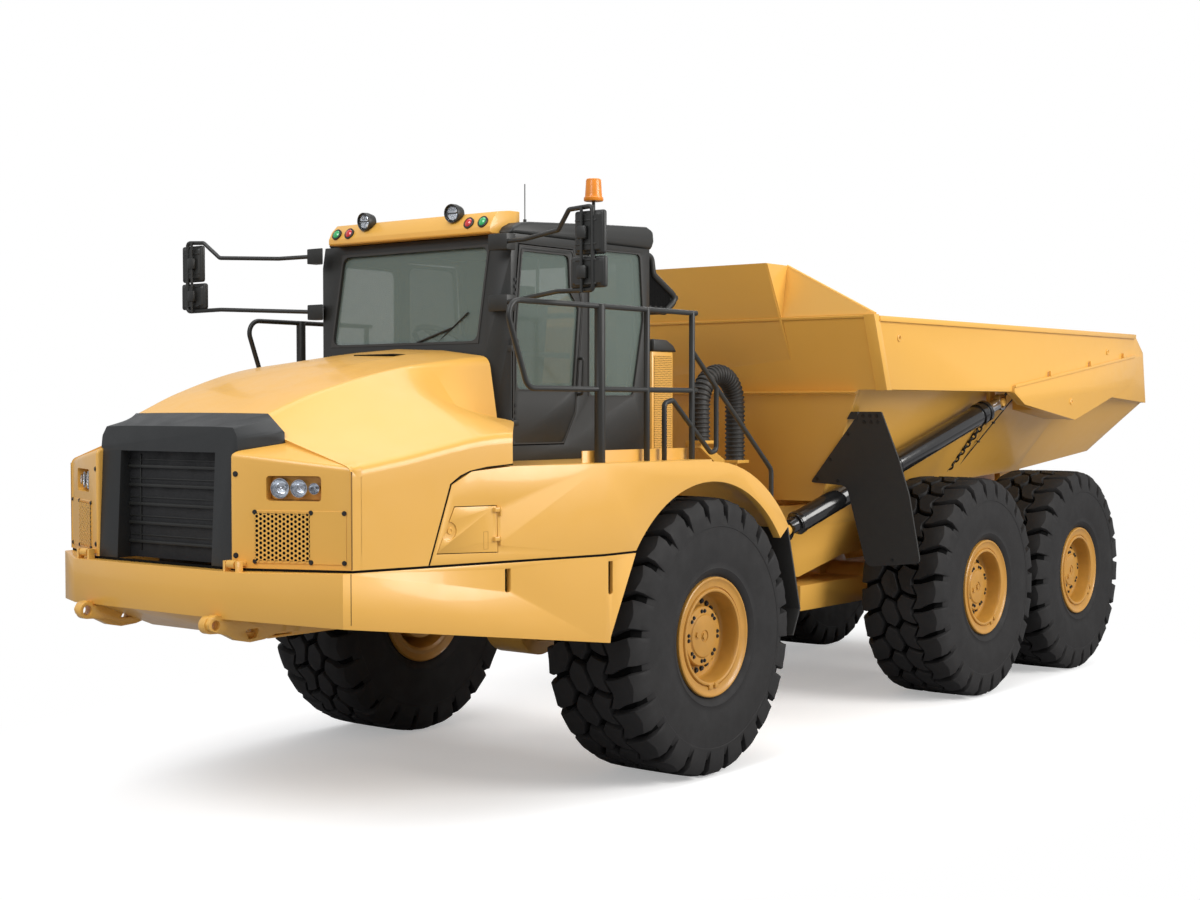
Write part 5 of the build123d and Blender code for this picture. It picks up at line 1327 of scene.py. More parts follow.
class HAULER_OT_hood(bpy.types.Operator):
    """Shape the hood, its front corners, lamp recesses and perforated side panels"""
    bl_idname = "hauler.hood"
    bl_label = "Hood"

    def execute(self, context):
        hood = self.shell()
        piece = Assembly("hood_shell_finished")
        piece.add(hood.data, paint())
        pod = self.pod()
        piece.add(pod.data, paint(), mirrored=True)
        for along, height in ((38.0, 2100.0), (38.0, 1645.0)):
            piece.add(fasteners([((0, 0, 0), (0, 0, 1))], 0.012, 0.006, dark_steel()), dark_steel(),
                      face_matrix(along, height, -1.0), mirrored=True)
        self.side_panel(piece)
        self.hinges(piece)
        self.vent(piece)
        piece.add(side_strip([(2912.0, 1578.0), (2912.0, 2118.0)], 1.6, 0.5, 6.0), seam_shade(), mirrored=True)
        piece.done("hood", "yellow_paint", ("hood_shell",), 34.0)
        self.lamps()
        return {"FINISHED"}

    def shell(self):
        """The hood's top and sides as one wall."""
        stations = [2914.0 - (2914.0 - 1262.0) * k / 26 for k in range(27)]
        bm = bmesh.new()
        rings = []
        for station in stations:
            centre_z, crown_y, crown_z, crease_y, crease_z, shoulder_z = between(HOOD_SECTIONS, station)
            side = body_side(station)
            half = [(0.0, centre_z), (crown_y * 0.5, centre_z - (centre_z - crown_z) * 0.25), (crown_y, crown_z),
                    (crease_y, crease_z), (side, shoulder_z), (side, POD_BASE_Z)]
            run = smooth_run([Vector((y, z, 0.0)) for y, z in half[:3]] + [Vector((*half[3], 0.0))], 90.0, 6)
            tail = smooth_run([Vector((*half[3], 0.0)), Vector((*half[4], 0.0)), Vector((*half[5], 0.0))], 75.0, 6)
            points = run[:-1] + [Vector((*half[3], 0.0))] + tail[1:-1]
            points += [Vector((side, POD_BASE_Z + (tail[-2].y - POD_BASE_Z) * k / 6, 0.0)) for k in range(5, -1, -1)]
            whole = [(-p.x, p.y) for p in reversed(points[1:])] + [(p.x, p.y) for p in points]
            rings.append([bm.verts.new(at(station, y, z)) for y, z in whole])
        for here, after in zip(rings, rings[1:]):
            for index in range(len(here) - 1):
                bm.faces.new((here[index], after[index], after[index + 1], here[index + 1]))
        bmesh.ops.recalc_face_normals(bm, faces=bm.faces)
        top = max(bm.faces, key=lambda face: face.calc_center_median().z)
        if top.normal.z < 0:
            bmesh.ops.reverse_faces(bm, faces=bm.faces)
        shell = object_from("hood_form", bm)
        wall = shell.modifiers.new("Wall", "SOLIDIFY")
        wall.thickness = 0.022
        wall.offset = -1.0
        seam = [(2435, 1500), (2435, 1575), (2290, 2035), (2225, 2080), (2157, 2108), (2040, 2128), (1865, 2142),
                (1100, 2142), (1100, 1500)]
        carve(shell, across(seam, -2000.0, 2000.0))
        for side in (1, -1):
            corner = [(1870, 1900), (1870, 1545), (1580, 1300), (1335, 892), (1100, 892), (1100, 1900)]
            carve(shell, moved(slab([(s, side * y) for s, y in corner], 1400.0, 3000.0), lambda spot: at(*spot)))
        solidify(shell)
        bpy.context.scene.collection.objects.unlink(shell)
        return shell

    def pod(self):
        """The left front corner, with its lamp recess."""
        corner, inner, outer = Vector((2914.0, 750.0, 2268.0)), Vector((3200.0, 620.0, 2215.0)), \
            Vector((2905.0, 1295.4, 2138.0))
        lid = (inner - corner).cross(outer - corner)
        plan = [(3200.0, 613.0), (2905.0, 1295.4), (2854.0, body_side(2854.0)), (2854.0, 613.0)]

        def lid_z(x, y):
            return corner.z - (lid.x * (x - corner.x) + lid.y * (y - corner.y)) / lid.z

        bm = block_between([(x, y, POD_BASE_Z) for x, y in plan], [(x, y, lid_z(x, y)) for x, y in plan])
        rim = [edge for edge in bm.edges if max(v.co.x for v in edge.verts) > at(2890, 0, 0).x
               and not all(abs(v.co.z - POD_BASE_Z / 1000) < 0.001 for v in edge.verts)]
        round_edges(bm, rim, 0.024, 4)
        pod = object_from("pod_form", bm)
        recess = slab(rounded(rectangle(0.331, 0.139), 0.024), -0.082, 0.050)
        bmesh.ops.transform(recess, verts=recess.verts, matrix=face_matrix(LAMP_ALONG, LAMP_HEIGHT))
        carve(pod, recess)
        bpy.context.scene.collection.objects.unlink(pod)
        return pod

    def side_panel(self, piece):
        """The bolted panel below each lamp, perforated over its inner part."""
        plate = slab(rounded(rectangle(0.560, 0.296), 0.012, 3), 0.0, 0.004, 0.002)
        piece.add(plate, paint(), face_matrix(424.0, 1752.0), mirrored=True)
        # a near-black sheet behind the holes: painted shade
        backing = slab(rounded(rectangle(0.330, 0.262), 0.006, 3), 0.0, 0.0046)
        piece.add(backing, painted_shade_and_seal_black(), face_matrix(322.0, 1752.0), mirrored=True)
        piece.add(perforated(0.340, 0.272, 0.0270, 0.0190, 0.004, paint()), paint(),
                  face_matrix(322.0, 1752.0, -8.0), mirrored=True)
        for x, y in ((x, y) for x in (156.0, 494.0, 692.0) for y in (1615.0, 1889.0)):
            piece.add(fasteners([((0, 0, 0), (0, 0, 1))], 0.0105, 0.006, dark_steel()), dark_steel(),
                      face_matrix(x, y, -4.0), mirrored=True)

    def hinges(self, piece):
        """The knuckles at the hood's foot."""
        knuckle = tube([at(3235.0, 648.0, 1600.0), at(3235.0, 712.0, 1600.0)], 0.024, 20)
        piece.add(knuckle, paint(), mirrored=True)
        arm = box_form(at(3120.0, 652.0, 1588.0), at(3235.0, 708.0, 1616.0), 0.004)
        piece.add(arm, paint(), mirrored=True)

    def vent(self, piece):
        """The intake slot on the hood's top."""
        centre_z = between(HOOD_SECTIONS, 1560.0)[0]
        low = at(1500.0, -40.0, centre_z - 20.0)
        high = at(1640.0, 330.0, centre_z - 4.0)
        # the slot's inside is a near-black box: painted shade
        piece.add(box_form(low, high, 0.008), painted_shade_and_seal_black())

    def lamps(self):
        """Three round lamps in each recess."""
        piece = Assembly("headlamps_finished")
        piece.add(slab(rounded(rectangle(0.322, 0.130), 0.022), -0.078, -0.066, 0.003), paint(),
                  face_matrix(LAMP_ALONG, LAMP_HEIGHT), mirrored=True)
        for offset, radius in ((-88.0, 0.056), (26.0, 0.050), (117.0, 0.032)):
            seat = face_matrix(LAMP_ALONG + offset, LAMP_HEIGHT) @ Matrix.Rotation(pi / 2, 4, "X")
            bowl = lathe(((-0.066, 0.0), (-0.064, radius * 0.42), (-0.052, radius * 0.72), (-0.030, radius * 0.88),
                          (-0.012, radius * 0.93), (-0.012, radius), (-0.066, radius), (-0.068, 0.0)), 40)
            piece.add(bowl, reflector(), seat, mirrored=True)
            bulb = lathe(((-0.064, 0.0), (-0.064, radius * 0.20), (-0.034, radius * 0.20), (-0.026, radius * 0.10),
                          (-0.024, 0.0)), 24)
            piece.add(bulb, bare_steel(), seat, mirrored=True)
            lens = lathe(((-0.017, 0.0), (-0.017, radius * 0.91), (-0.013, radius * 0.91), (-0.009, radius * 0.55),
                          (-0.008, 0.0)), 40)
            piece.add(lens, lamp_glass(), seat, mirrored=True)
        piece.done("hood", "lamp_glass", ("headlamps",), 40.0)


class HAULER_OT_grille(bpy.types.Operator):
    """Round the grille's surround and hang its bars over a fine mesh"""
    bl_idname = "hauler.grille"
    bl_label = "Grille"

    def execute(self, context):
        dress("grille_surround", slate(), 0.012, 3)
        low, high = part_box("grille")
        piece = Assembly("grille_finished")
        piece.add(box_form(low, (high.x - 0.018, high.y, high.z)), mesh_screen())
        x = high.x - 0.018
        for k in range(5):
            z = low.z + 0.085 + k * 0.112
            piece.add(box_form((x - 0.004, low.y + 0.004, z), (x + 0.016, high.y - 0.004, z + 0.018), 0.003),
                      satin_black())
            piece.add(box_form((x - 0.004, low.y + 0.004, z + 0.045), (x + 0.005, high.y - 0.004, z + 0.053), 0.002),
                      satin_black())
        for y in (low.y + 0.105, high.y - 0.012):
            piece.add(box_form((x - 0.004, y, low.z + 0.04), (x + 0.008, y + 0.008, high.z - 0.02), 0.002),
                      satin_black())
        piece.done("hood", "black_paint", ("grille",))
        return {"FINISHED"}


# ==== cab =========================================================================================
ROOF_LAMP_OUT = 410.0


class HAULER_OT_roof(bpy.types.Operator):
    """Cap the cab roof and set its work lamps, markers and beacon"""
    bl_idname = "hauler.roof"
    bl_label = "Roof"

    def execute(self, context):
        piece = Assembly("cab_roof_finished")
        base = [(-405.0, 3590.3), (1105.0, 3590.3), (1085.0, 3635.0), (1005.0, 3670.0), (911.0, 3682.0),
                (125.0, 3729.0), (-355.0, 3752.0), (-425.0, 3727.0), (-436.0, 3650.0)]
        piece.add(across(base, -865.0, 865.0, 0.026), satin_black())
        cap = [(1080.0, 3594.0), (1180.0, 3594.0), (1190.0, 3604.0), (1190.0, 3636.0), (1160.0, 3690.0),
               (1110.0, 3738.0), (1000.0, 3752.0), (905.0, 3754.0), (900.0, 3748.0), (900.0, 3660.0)]
        piece.add(across(cap, -755.0, 755.0, 0.022), paint())
        for out in (ROOF_LAMP_OUT, -ROOF_LAMP_OUT):
            piece.add(box_form(at(1070.0, out - 66.0, 3640.0), at(1168.0, out + 66.0, 3684.0), 0.010), paint())
        piece.add(box_form(at(700.0, -80.0, 3690.0), at(860.0, 90.0, 3722.0), 0.012), satin_black())
        piece.add(tube([at(900.0, 800.0, 3600.0), at(900.0, 800.0, 3930.0)], 0.0035, 8), dark_steel())
        piece.add(tube([at(900.0, 800.0, 3650.0), at(900.0, 800.0, 3700.0)], 0.011, 12), dark_steel())
        piece.done("front", "black_paint", ("cab_roof",), 32.0)
        self.lamps()
        return {"FINISHED"}

    def lamps(self):
        """Work lamps, markers and beacon."""
        piece = Assembly("roof_lamps_finished")
        for side in (1, -1):
            out = side * ROOF_LAMP_OUT
            seat = facing_frame(at(1140.0, out, 3745.0), (1.0, 0.06 * side, -0.10), (0, 1, 0)) \
                @ Matrix.Rotation(pi / 2, 4, "X")
            housing = lathe(((0.050, 0.060), (0.046, 0.062), (0.010, 0.060), (-0.030, 0.048), (-0.048, 0.020),
                             (-0.050, 0.0), (0.020, 0.0), (0.022, 0.050), (0.046, 0.054)), 40)
            piece.add(housing, satin_black(), seat)
            for half in (1, -1):
                lens = slab(rounded([(-0.045, 0.004), (0.045, 0.004), (0.030, 0.036), (0.0, 0.046),
                                     (-0.030, 0.036)], 0.010, 3), 0.0, 0.010, 0.002)
                piece.add(lens, reflector(), seat @ Matrix.Rotation(-pi / 2, 4, "X")
                          @ Matrix.Translation((0, 0, 0.026)) @ Matrix.Diagonal((1, half, 1, 1)))
            piece.add(lathe(((0.036, 0.0), (0.036, 0.052), (0.040, 0.052), (0.043, 0.0)), 32),
                      lamp_glass(), seat)
            piece.add(tube([at(1135.0, out, 3672.0), at(1135.0, out, 3700.0)], 0.014, 12), dark_steel())
        for width, tint in ((560.0, (0.62, 0.02, 0.02)), (683.0, (0.02, 0.42, 0.12))):
            for side in (1, -1):
                seat = facing_frame(at(1176.0, side * width, 3668.0), (1.0, 0.0, 0.45), (0, 1, 0)) \
                    @ Matrix.Rotation(pi / 2, 4, "X")
                piece.add(lathe(((-0.004, 0.040), (0.008, 0.040), (0.010, 0.036), (0.010, 0.030), (-0.004, 0.028)),
                                32), satin_black(), seat)
                lens = material(f"Marker_{'Red' if tint[0] > 0.3 else 'Green'}", tint, rough=(0.08, 0.12), coat=1.0)
                piece.add(lathe(((-0.004, 0.0), (-0.004, 0.029), (0.010, 0.029), (0.018, 0.020), (0.021, 0.0)), 32),
                          lens, seat)
        spot = at(-130.0, 550.0, 3752.0)
        upright = Matrix.Translation(spot) @ Matrix.Rotation(pi / 2, 4, "X")
        piece.add(lathe(((0.0, 0.0), (0.0, 0.030), (0.008, 0.030), (0.012, 0.013), (0.190, 0.012), (0.196, 0.030),
                         (0.196, 0.0)), 24), satin_black(), upright)
        piece.add(lathe(((0.182, 0.0), (0.182, 0.066), (0.188, 0.070), (0.206, 0.070), (0.212, 0.064),
                         (0.212, 0.0)), 40), beacon_lens(), upright)
        ribs = [(0.212, 0.0), (0.212, 0.062)]
        for k in range(9):
            ribs += [(0.222 + k * 0.0125, 0.0615 - k * 0.0008), (0.2275 + k * 0.0125, 0.0595 - k * 0.0008)]
        ribs += [(0.333, 0.054), (0.339, 0.048), (0.341, 0.0)]
        piece.add(lathe(tuple(ribs), 40), beacon_lens(), upright)
        piece.done("front", "amber_lamp", ("roof_lamps",), 40.0)


TOW_EYE = (3309.0, 1262.0)
SEAM = ((2435.0, 1578.0), (2290.0, 2035.0), (2225.0, 2080.0), (2157.0, 2108.0), (2040.0, 2128.0), (1870.0, 2142.0))
# station, half width, low height, high height
BUMPER_SLOTS = ((1901.0, 20.0, 1387.0, 1527.0), (1139.0, 22.0, 1321.0, 1527.0))
OLD_SLOTS = ((2088.0, 1416.0, 1535.0), (1145.0, 1318.0, 1528.0))


class HAULER_OT_lower_panels(bpy.types.Operator):
    """Cut the bumper's slots, seal the seams and fit the filler flap"""
    bl_idname = "hauler.lower_panels"
    bl_label = "Lower panels"

    def execute(self, context):
        self.bumper()
        self.flap()
        self.tow_plates()
        # near-black strips in the seams and gaps: the seals' own black, with painted shade of the gaps on top
        piece = Assembly("body_seals")
        seam = smooth_run([Vector((s - 8.0, z, 0.0)) for s, z in SEAM], 40.0, 4)
        piece.add(side_strip([(p.x, p.y) for p in seam], 7.0, -2.0, 30.0), painted_shade_and_seal_black(), mirrored=True)
        edge = [(900.0, 1694.0), (1200.0, 1694.0), (2908.0, 1288.0), (3188.0, 640.0), (3188.0, 0.0)]
        piece.add(plan_strip(edge, 18.0, 1560.4, 1573.5), painted_shade_and_seal_black(), mirrored=True)
        piece.add(side_strip([(2921.0, 1274.0), (2921.0, 1559.0)], 2.0, 0.6, 8.0), painted_shade_and_seal_black(), mirrored=True)
        piece.done("front", "rubber", (), 30.0)
        return {"FINISHED"}

    def tow_plates(self):
        """Plates round the tow eyes, each with a round and a three-cornered hole."""
        outline = [(3352.0, 1240.0), (3362.0, 1272.0), (3340.0, 1308.0), (3300.0, 1318.0), (3200.0, 1300.0),
                   (3135.0, 1288.0), (2800.0, 1300.0), (2800.0, 1180.0), (2881.0, 1172.0), (2960.0, 1150.0),
                   (3068.0, 1143.0), (3150.0, 1160.0), (3230.0, 1200.0), (3300.0, 1217.0)]
        plate = object_from("tow_plate", across(rounded(outline, 20.0, 3), 566.0, 624.0))
        eye = lathe(((0.5, 0.0), (0.5, 0.028), (0.7, 0.028), (0.7, 0.0)), 32)
        bmesh.ops.transform(eye, matrix=Matrix.Translation(at(TOW_EYE[0], 0.0, TOW_EYE[1])), verts=eye.verts)
        carve(plate, eye)
        carve(plate, across(rounded([(3108.0, 1216.0), (3000.0, 1220.0), (3022.0, 1168.0), (3075.0, 1162.0)], 14.0, 4),
                            500.0, 700.0))
        bevel(plate, 0.005)
        piece = Assembly("tow_plates")
        piece.add(freed(plate), paint(), mirrored=True)
        piece.done("front", "yellow_paint", (), 32.0)

    def bumper(self):
        """The bumper with rounded slots in its sides."""
        def inside(spot):
            station, height = (spot.x - FRONT_AXLE_X) * 1000.0, spot.z * 1000.0
            return abs(spot.y) > 1.3 and any(abs(station - s) < 9.5 and low - 2.0 < height < high + 2.0
                                             for s, low, high in OLD_SLOTS)

        piece = patched("bumper_finished", "bumper", inside)
        for s, half, low, high in BUMPER_SLOTS:
            outline = rounded(corners(s - half, s + half, low, high), [half * 0.96, half * 0.96, 6.0, 6.0], 6)
            carve_sides(piece, outline, 1200.0, 1800.0)
        bevel(piece, 0.005)
        place(piece, "front", "yellow_paint", paint(), ("bumper",))
        # near-black plates behind the slots: painted shade inside them
        backs = Assembly("bumper_slot_backs")
        for s, half, low, high in BUMPER_SLOTS:
            out = body_side(s)
            backs.add(across(corners(s - half - 14.0, s + half + 14.0, low - 12.0, high + 12.0),
                             out - 60.0, out - 42.0), painted_shade_and_seal_black(), mirrored=True)
        backs.done("front", "black_paint")

    def flap(self):
        """The fuel filler flap with its latch recess."""
        piece = in_scene(merged_copy("filler_flap_finished", "filler_flap"))
        spot = (2300.0, 1765.0)
        out = body_side(spot[0])
        lean = atan2(BODY_HALF_WIDTH - NOSE_HALF_WIDTH, NOSE_STATION - FOLD_STATION)
        seat = Matrix.Translation(at(spot[0], out, spot[1])) @ Matrix.Rotation(-lean, 4, "Z")
        form = lathe(((-0.007, 0.0), (-0.007, 0.052), (0.020, 0.060), (0.020, 0.0)), 40)
        bmesh.ops.transform(form, matrix=seat, verts=form.verts)
        carve(piece, form)
        bevel(piece, 0.002)
        place(piece, "filler_flap", "yellow_paint", paint(), ("filler_flap",))
        trim = Assembly("filler_flap_latch")
        trim.add(lathe(((-0.007, 0.0), (-0.007, 0.020), (-0.001, 0.018), (-0.001, 0.011), (-0.004, 0.010),
                        (-0.004, 0.0)), 28), paint(), seat @ Matrix.Translation((-0.012, 0.0, 0.0)))
        # the outer and inner loops of a thin frame round (2052, 1700)
        loops = [[[at(s, body_side(s) + out, z)
                   for s, z in corners(2052.0 - half, 2052.0 + half, 1700.0 - tall, 1700.0 + tall)]
                  for out in (-1.0, 0.8)] for half, tall in ((16.0, 52.0), (13.5, 49.5))]
        trim.add(quads(*loops), wheel_paint())
        trim.done("filler_flap", "yellow_paint")
        # a near-black plate behind the flap: painted shade in the gap round it
        back = Assembly("filler_recess")
        back.add(prism(*([at(s, body_side(s) - depth, z) for s, z in corners(1940.0, 2400.0, 1606.0, 1925.0)]
                         for depth in (14.5, 17.0))), painted_shade_and_seal_black())
        back.done("front", "black_paint")


DOOR_WINDOW = ((1086.0, 2580.0), (492.0, 2580.0), (434.0, 3145.0), (524.0, 3245.0), (540.0, 3494.0),
               (1026.0, 3494.0), (1086.0, 2960.0))
OLD_QUARTER = ((345.0, 2550.0), (345.0, 3530.0), (-180.0, 3530.0), (-220.0, 2950.0), (-100.0, 2550.0))
QUARTER_WINDOW = ((340.0, 2545.0), (335.0, 3548.0), (-245.0, 3556.0), (-284.0, 3090.0), (-165.0, 2548.0))
# inner and outer faces of the cab's side panes, and of a cut through its side walls
PANE_IN, PANE_OUT = 862.0, 868.0
WALL_IN, WALL_OUT = 820.0, 900.0


class HAULER_OT_cab_trim(bpy.types.Operator):
    """Seal the cab windows and fit the mirrors, door bolts, intake and guard"""
    bl_idname = "hauler.cab_trim"
    bl_label = "Cab trim"

    def execute(self, context):
        self.shell()
        self.door()
        off_side = [(1070.0, 2600.0), (420.0, 2600.0), (420.0, 3480.0), (1010.0, 3480.0), (1070.0, 2950.0)]
        piece = Assembly("window_seals")
        piece.add(seal_ring(off_side, 14.0, 58.0, -862.0, -883.0), sheet_rubber())
        for side in (1, -1):
            piece.add(seal_ring(QUARTER_WINDOW, 9.0, 44.0, side * 860.0, side * 882.5), sheet_rubber())
            piece.add(seal_ring(OLD_QUARTER, 26.0, 60.0, side * 832.0, side * 856.0), sheet_rubber())
            pane = rounded(inset_loop(QUARTER_WINDOW, 8.0), 44.0, 5)
            piece.add(across(pane, side * PANE_IN, side * PANE_OUT), cab_glass())
        # the windscreen leans back from its foot to its head
        foot_x, foot_z, head_x, head_z = 1240.0, 2830.0, 1105.0, 3590.0
        lean = (foot_x - head_x) / (head_z - foot_z)
        windscreen = corners(-690.0, 690.0, 2885.0, 3530.0)

        def rows(points):
            return [[at(foot_x - lean * (z - foot_z) + out, y, z) for y, z in points] for out in (-14.0, 4.0)]

        piece.add(quads(rows(rounded(windscreen, 2.0, 6)), rows(rounded(inset_loop(windscreen, 16.0), 60.0, 6))),
                  sheet_rubber())
        # the wiper's rods: start, end, radius
        for start, end, radius in (((1214.0, 120.0, 2900.0), (1196.0, 420.0, 2990.0), 0.008),
                                   ((1200.0, 300.0, 2900.0), (1185.0, 560.0, 3090.0), 0.006)):
            piece.add(tube([at(*start), at(*end)], radius, 8), dark_steel())
        piece.done("front", "rubber", (), 30.0)
        self.mirrors()
        self.intake()
        self.guard()
        return {"FINISHED"}

    def shell(self):
        """The cab's walls, their quarter windows opened out and rounded."""
        piece = in_scene(merged_copy("cab_shell_finished", "cab_shell"))
        carve_sides(piece, rounded(QUARTER_WINDOW, 44.0, 5), WALL_IN, WALL_OUT)
        bevel(piece, 0.005)
        place(piece, "front", "black_paint", satin_black(), ("cab_shell",))

    def door(self):
        """The door leaf with its rounded window, hinge leaves, bolts and handle."""
        leaf = [(1114.0, 2233.0), (604.6, 2233.0), (477.3, 2442.7), (403.4, 3160.2), (505.8, 3522.0),
                (1049.0, 3522.0), (1114.0, 2959.5)]
        piece = object_from("cab_door_finished", across(leaf, 835.0, 880.0))
        carve(piece, across(rounded(DOOR_WINDOW, 52.0, 5), WALL_IN, WALL_OUT))
        bevel(piece, 0.005)
        whole = Assembly("cab_door_finished")
        whole.add(freed(piece), satin_black())
        whole.add(seal_ring(leaf, 9.0, 30.0, 879.0, 883.5), sheet_rubber())
        whole.add(seal_ring(DOOR_WINDOW, 10.0, 46.0, 852.0, 882.0), sheet_rubber())
        for z in (2330.0, 2850.0):
            whole.add(box_form(at(1076.0, 876.0, z + 25.0), at(1138.0, 900.0, z + 60.0), 0.003), satin_black())
            whole.add(tube([at(1138.0, 894.0, z + 25.0), at(1138.0, 894.0, z + 60.0)], 0.011, 16), satin_black())
        bolts = [(at(1092.0, 881.0, z), (0, 1, 0)) for z in (3205.0, 3250.0, 3295.0, 2395.0, 2440.0, 2485.0)]
        whole.add(fasteners(bolts, 0.011, 0.006, dark_steel()), dark_steel())
        whole.add(tube(smooth_run([at(455.0, 880.0, 2560.0), at(455.0, 922.0, 2560.0), at(440.0, 922.0, 2800.0),
                                   at(440.0, 880.0, 2800.0)], 0.02, 4), 0.010, 10), satin_black())
        whole.add(box_form(at(820.0, 838.0, 2840.0), at(838.0, 856.0, 3440.0), 0.004), trim_plastic())
        whole.add(box_form(at(500.0, 838.0, 2800.0), at(1090.0, 852.0, 2836.0), 0.006), trim_plastic())
        whole.done("door", "black_paint", ("cab_door",), 32.0)
        pane = Assembly("door_glass_finished")
        pane.add(across(rounded(inset_loop(DOOR_WINDOW, 8.0), 46.0, 5), PANE_IN, PANE_OUT), cab_glass())
        pane.done("door", "tinted_glass", ("door_glass",))

    def mirrors(self):
        """Mirror arms and rounded heads, with glass on their rear faces."""
        piece = Assembly("mirrors_finished")
        route = [at(1190.0, 880.0, 3530.0), at(1300.0, 1150.0, 3520.0), at(1480.0, 1570.0, 3535.0),
                 at(1525.0, 1690.0, 3645.0), at(1525.0, 1868.0, 3655.0), at(1525.0, 1874.0, 3162.0),
                 at(1480.0, 1560.0, 3168.0), at(1190.0, 880.0, 3140.0)]
        piece.add(tube(smooth_run(route, 0.03, 5), 0.0145, 14), satin_black(), mirrored=True)
        piece.add(tube([at(1545.0, 1800.0, 3150.0), at(1545.0, 1800.0, 3655.0)], 0.010, 12), satin_black(),
                  mirrored=True)
        for z in (3530.0, 3140.0):
            foot = ((1144.0, 865.6), (1230.0, 772.0), (1230.0, 935.0), (1144.0, 935.0))
            piece.add(block_between(*([(s, y, z + rise) for s, y in foot] for rise in (-55.0, 50.0)), 0.006),
                      satin_black(), mirrored=True)
        # inner width, outer width, low height, high height
        for low_y, high_y, low_z, high_z in ((1722.0, 1948.0, 3372.0, 3632.0), (1690.0, 1956.0, 3176.0, 3362.0)):
            piece.add(box_form(at(1480.0, low_y, low_z), at(1518.0, high_y, high_z), 0.017, 4), satin_black(),
                      mirrored=True)
            loop = rounded(corners(low_y, high_y, low_z, high_z, 6.0), 34.0, 5)
            piece.add(cross_plate(loop, 1500.0, 30.0, 22.0), satin_black(), mirrored=True)
            pane = rounded(corners(low_y, high_y, low_z, high_z, 18.0), 18.0, 4)
            piece.add(cross_plate(pane, 1477.5, 3.0), reflector(), mirrored=True)
            middle = (low_z + high_z) / 2
            piece.add(box_form(at(1526.0, 1770.0, middle - 40.0), at(1560.0, 1838.0, middle + 40.0), 0.010),
                      satin_black(), mirrored=True)
            for rise in (-70.0, 70.0):
                piece.add(box_form(at(1526.0, 1740.0, middle + rise - 5.0), at(1534.0, 1900.0, middle + rise + 5.0),
                                   0.003), satin_black(), mirrored=True)
        piece.done("front", "black_paint", ("mirrors",), 34.0)

    def intake(self):
        """The air intake behind the cab, its side perforated and its cap black."""
        piece = Assembly("intake_box_finished")
        piece.add(box_form(at(-610.0, 480.0, 2070.0), at(-356.0, 900.0, 2872.0), 0.012), paint())
        piece.add(box_form(at(-360.0, 500.0, 2200.0), at(-350.4, 860.0, 2800.0)), paint())
        piece.add(box_form(at(-610.0, 500.0, 1450.4), at(-356.0, 560.0, 2075.0), 0.004), paint())
        cap = [(-640.0, 2872.0), (-356.0, 2872.0), (-356.0, 2958.0), (-520.0, 2955.0), (-600.0, 2918.0)]
        piece.add(across(cap, 460.0, 915.0, 0.014), satin_black())
        seat = facing_frame(at(-483.0, 903.5, 2478.0), (0, 1, 0), (0, 0, 1))
        # a near-black sheet behind the holes: painted shade
        piece.add(slab(rounded(rectangle(0.720, 0.206), 0.010, 3), -0.003, -0.0005), painted_shade_and_seal_black(), seat)
        piece.add(perforated(0.730, 0.210, 0.0150, 0.0090, 0.003, paint()), paint(), seat)
        piece.done("front", "yellow_paint", ("intake_box",), 30.0)

    def guard(self):
        """The rear guard: a bent tube frame round black sheets, their perforations painted on as near-black discs of
        shade.
        """
        piece = Assembly("rear_guard_finished")
        bend = [(-352.0, 3560.0), (-520.0, 3560.0), (-545.0, 3430.0), (-836.0, 3272.0), (-690.0, 3170.0),
                (-352.0, 3180.0)]
        for side in (1, -1):
            piece.add(tube(smooth_run([at(s, side * 764.0, z) for s, z in bend], 0.05, 5), 0.026, 16), satin_black())
        for station, z in ((-535.0, 3545.0), (-836.0, 3276.0), (-690.0, 3172.0)):
            piece.add(tube([at(station, -764.0, z), at(station, 764.0, z)], 0.022, 14), satin_black())
        sheet = [(-352.0, 3556.0), (-520.0, 3556.0), (-545.0, 3424.0), (-830.0, 3270.0), (-690.0, 3174.0),
                 (-352.0, 3184.0)]
        for side in (1, -1):
            piece.add(across(sheet, side * 758.0, side * 764.0), satin_black())
        # near-black discs for the sheets' holes: painted shade
        cells = []
        for column in range(12):
            for row in range(10):
                station, z = -385.0 - 33.0 * column, 3530.0 - 38.0 * row - 19.0 * (column % 2)
                top = 3530.0 if station > -520.0 else 3410.0 - (-545.0 - station) * 0.53
                if 3205.0 < z < top and station > -760.0:
                    cells.append((at(station, 764.5, z), (0, 1, 0)))
        piece.add(fasteners(cells, 0.0155, 0.0012, painted_shade_and_seal_black()), painted_shade_and_seal_black(), mirrored=True)
        piece.done("front", "black_paint", ("rear_guard",), 34.0)


CHAIN_STATION = -4700.0


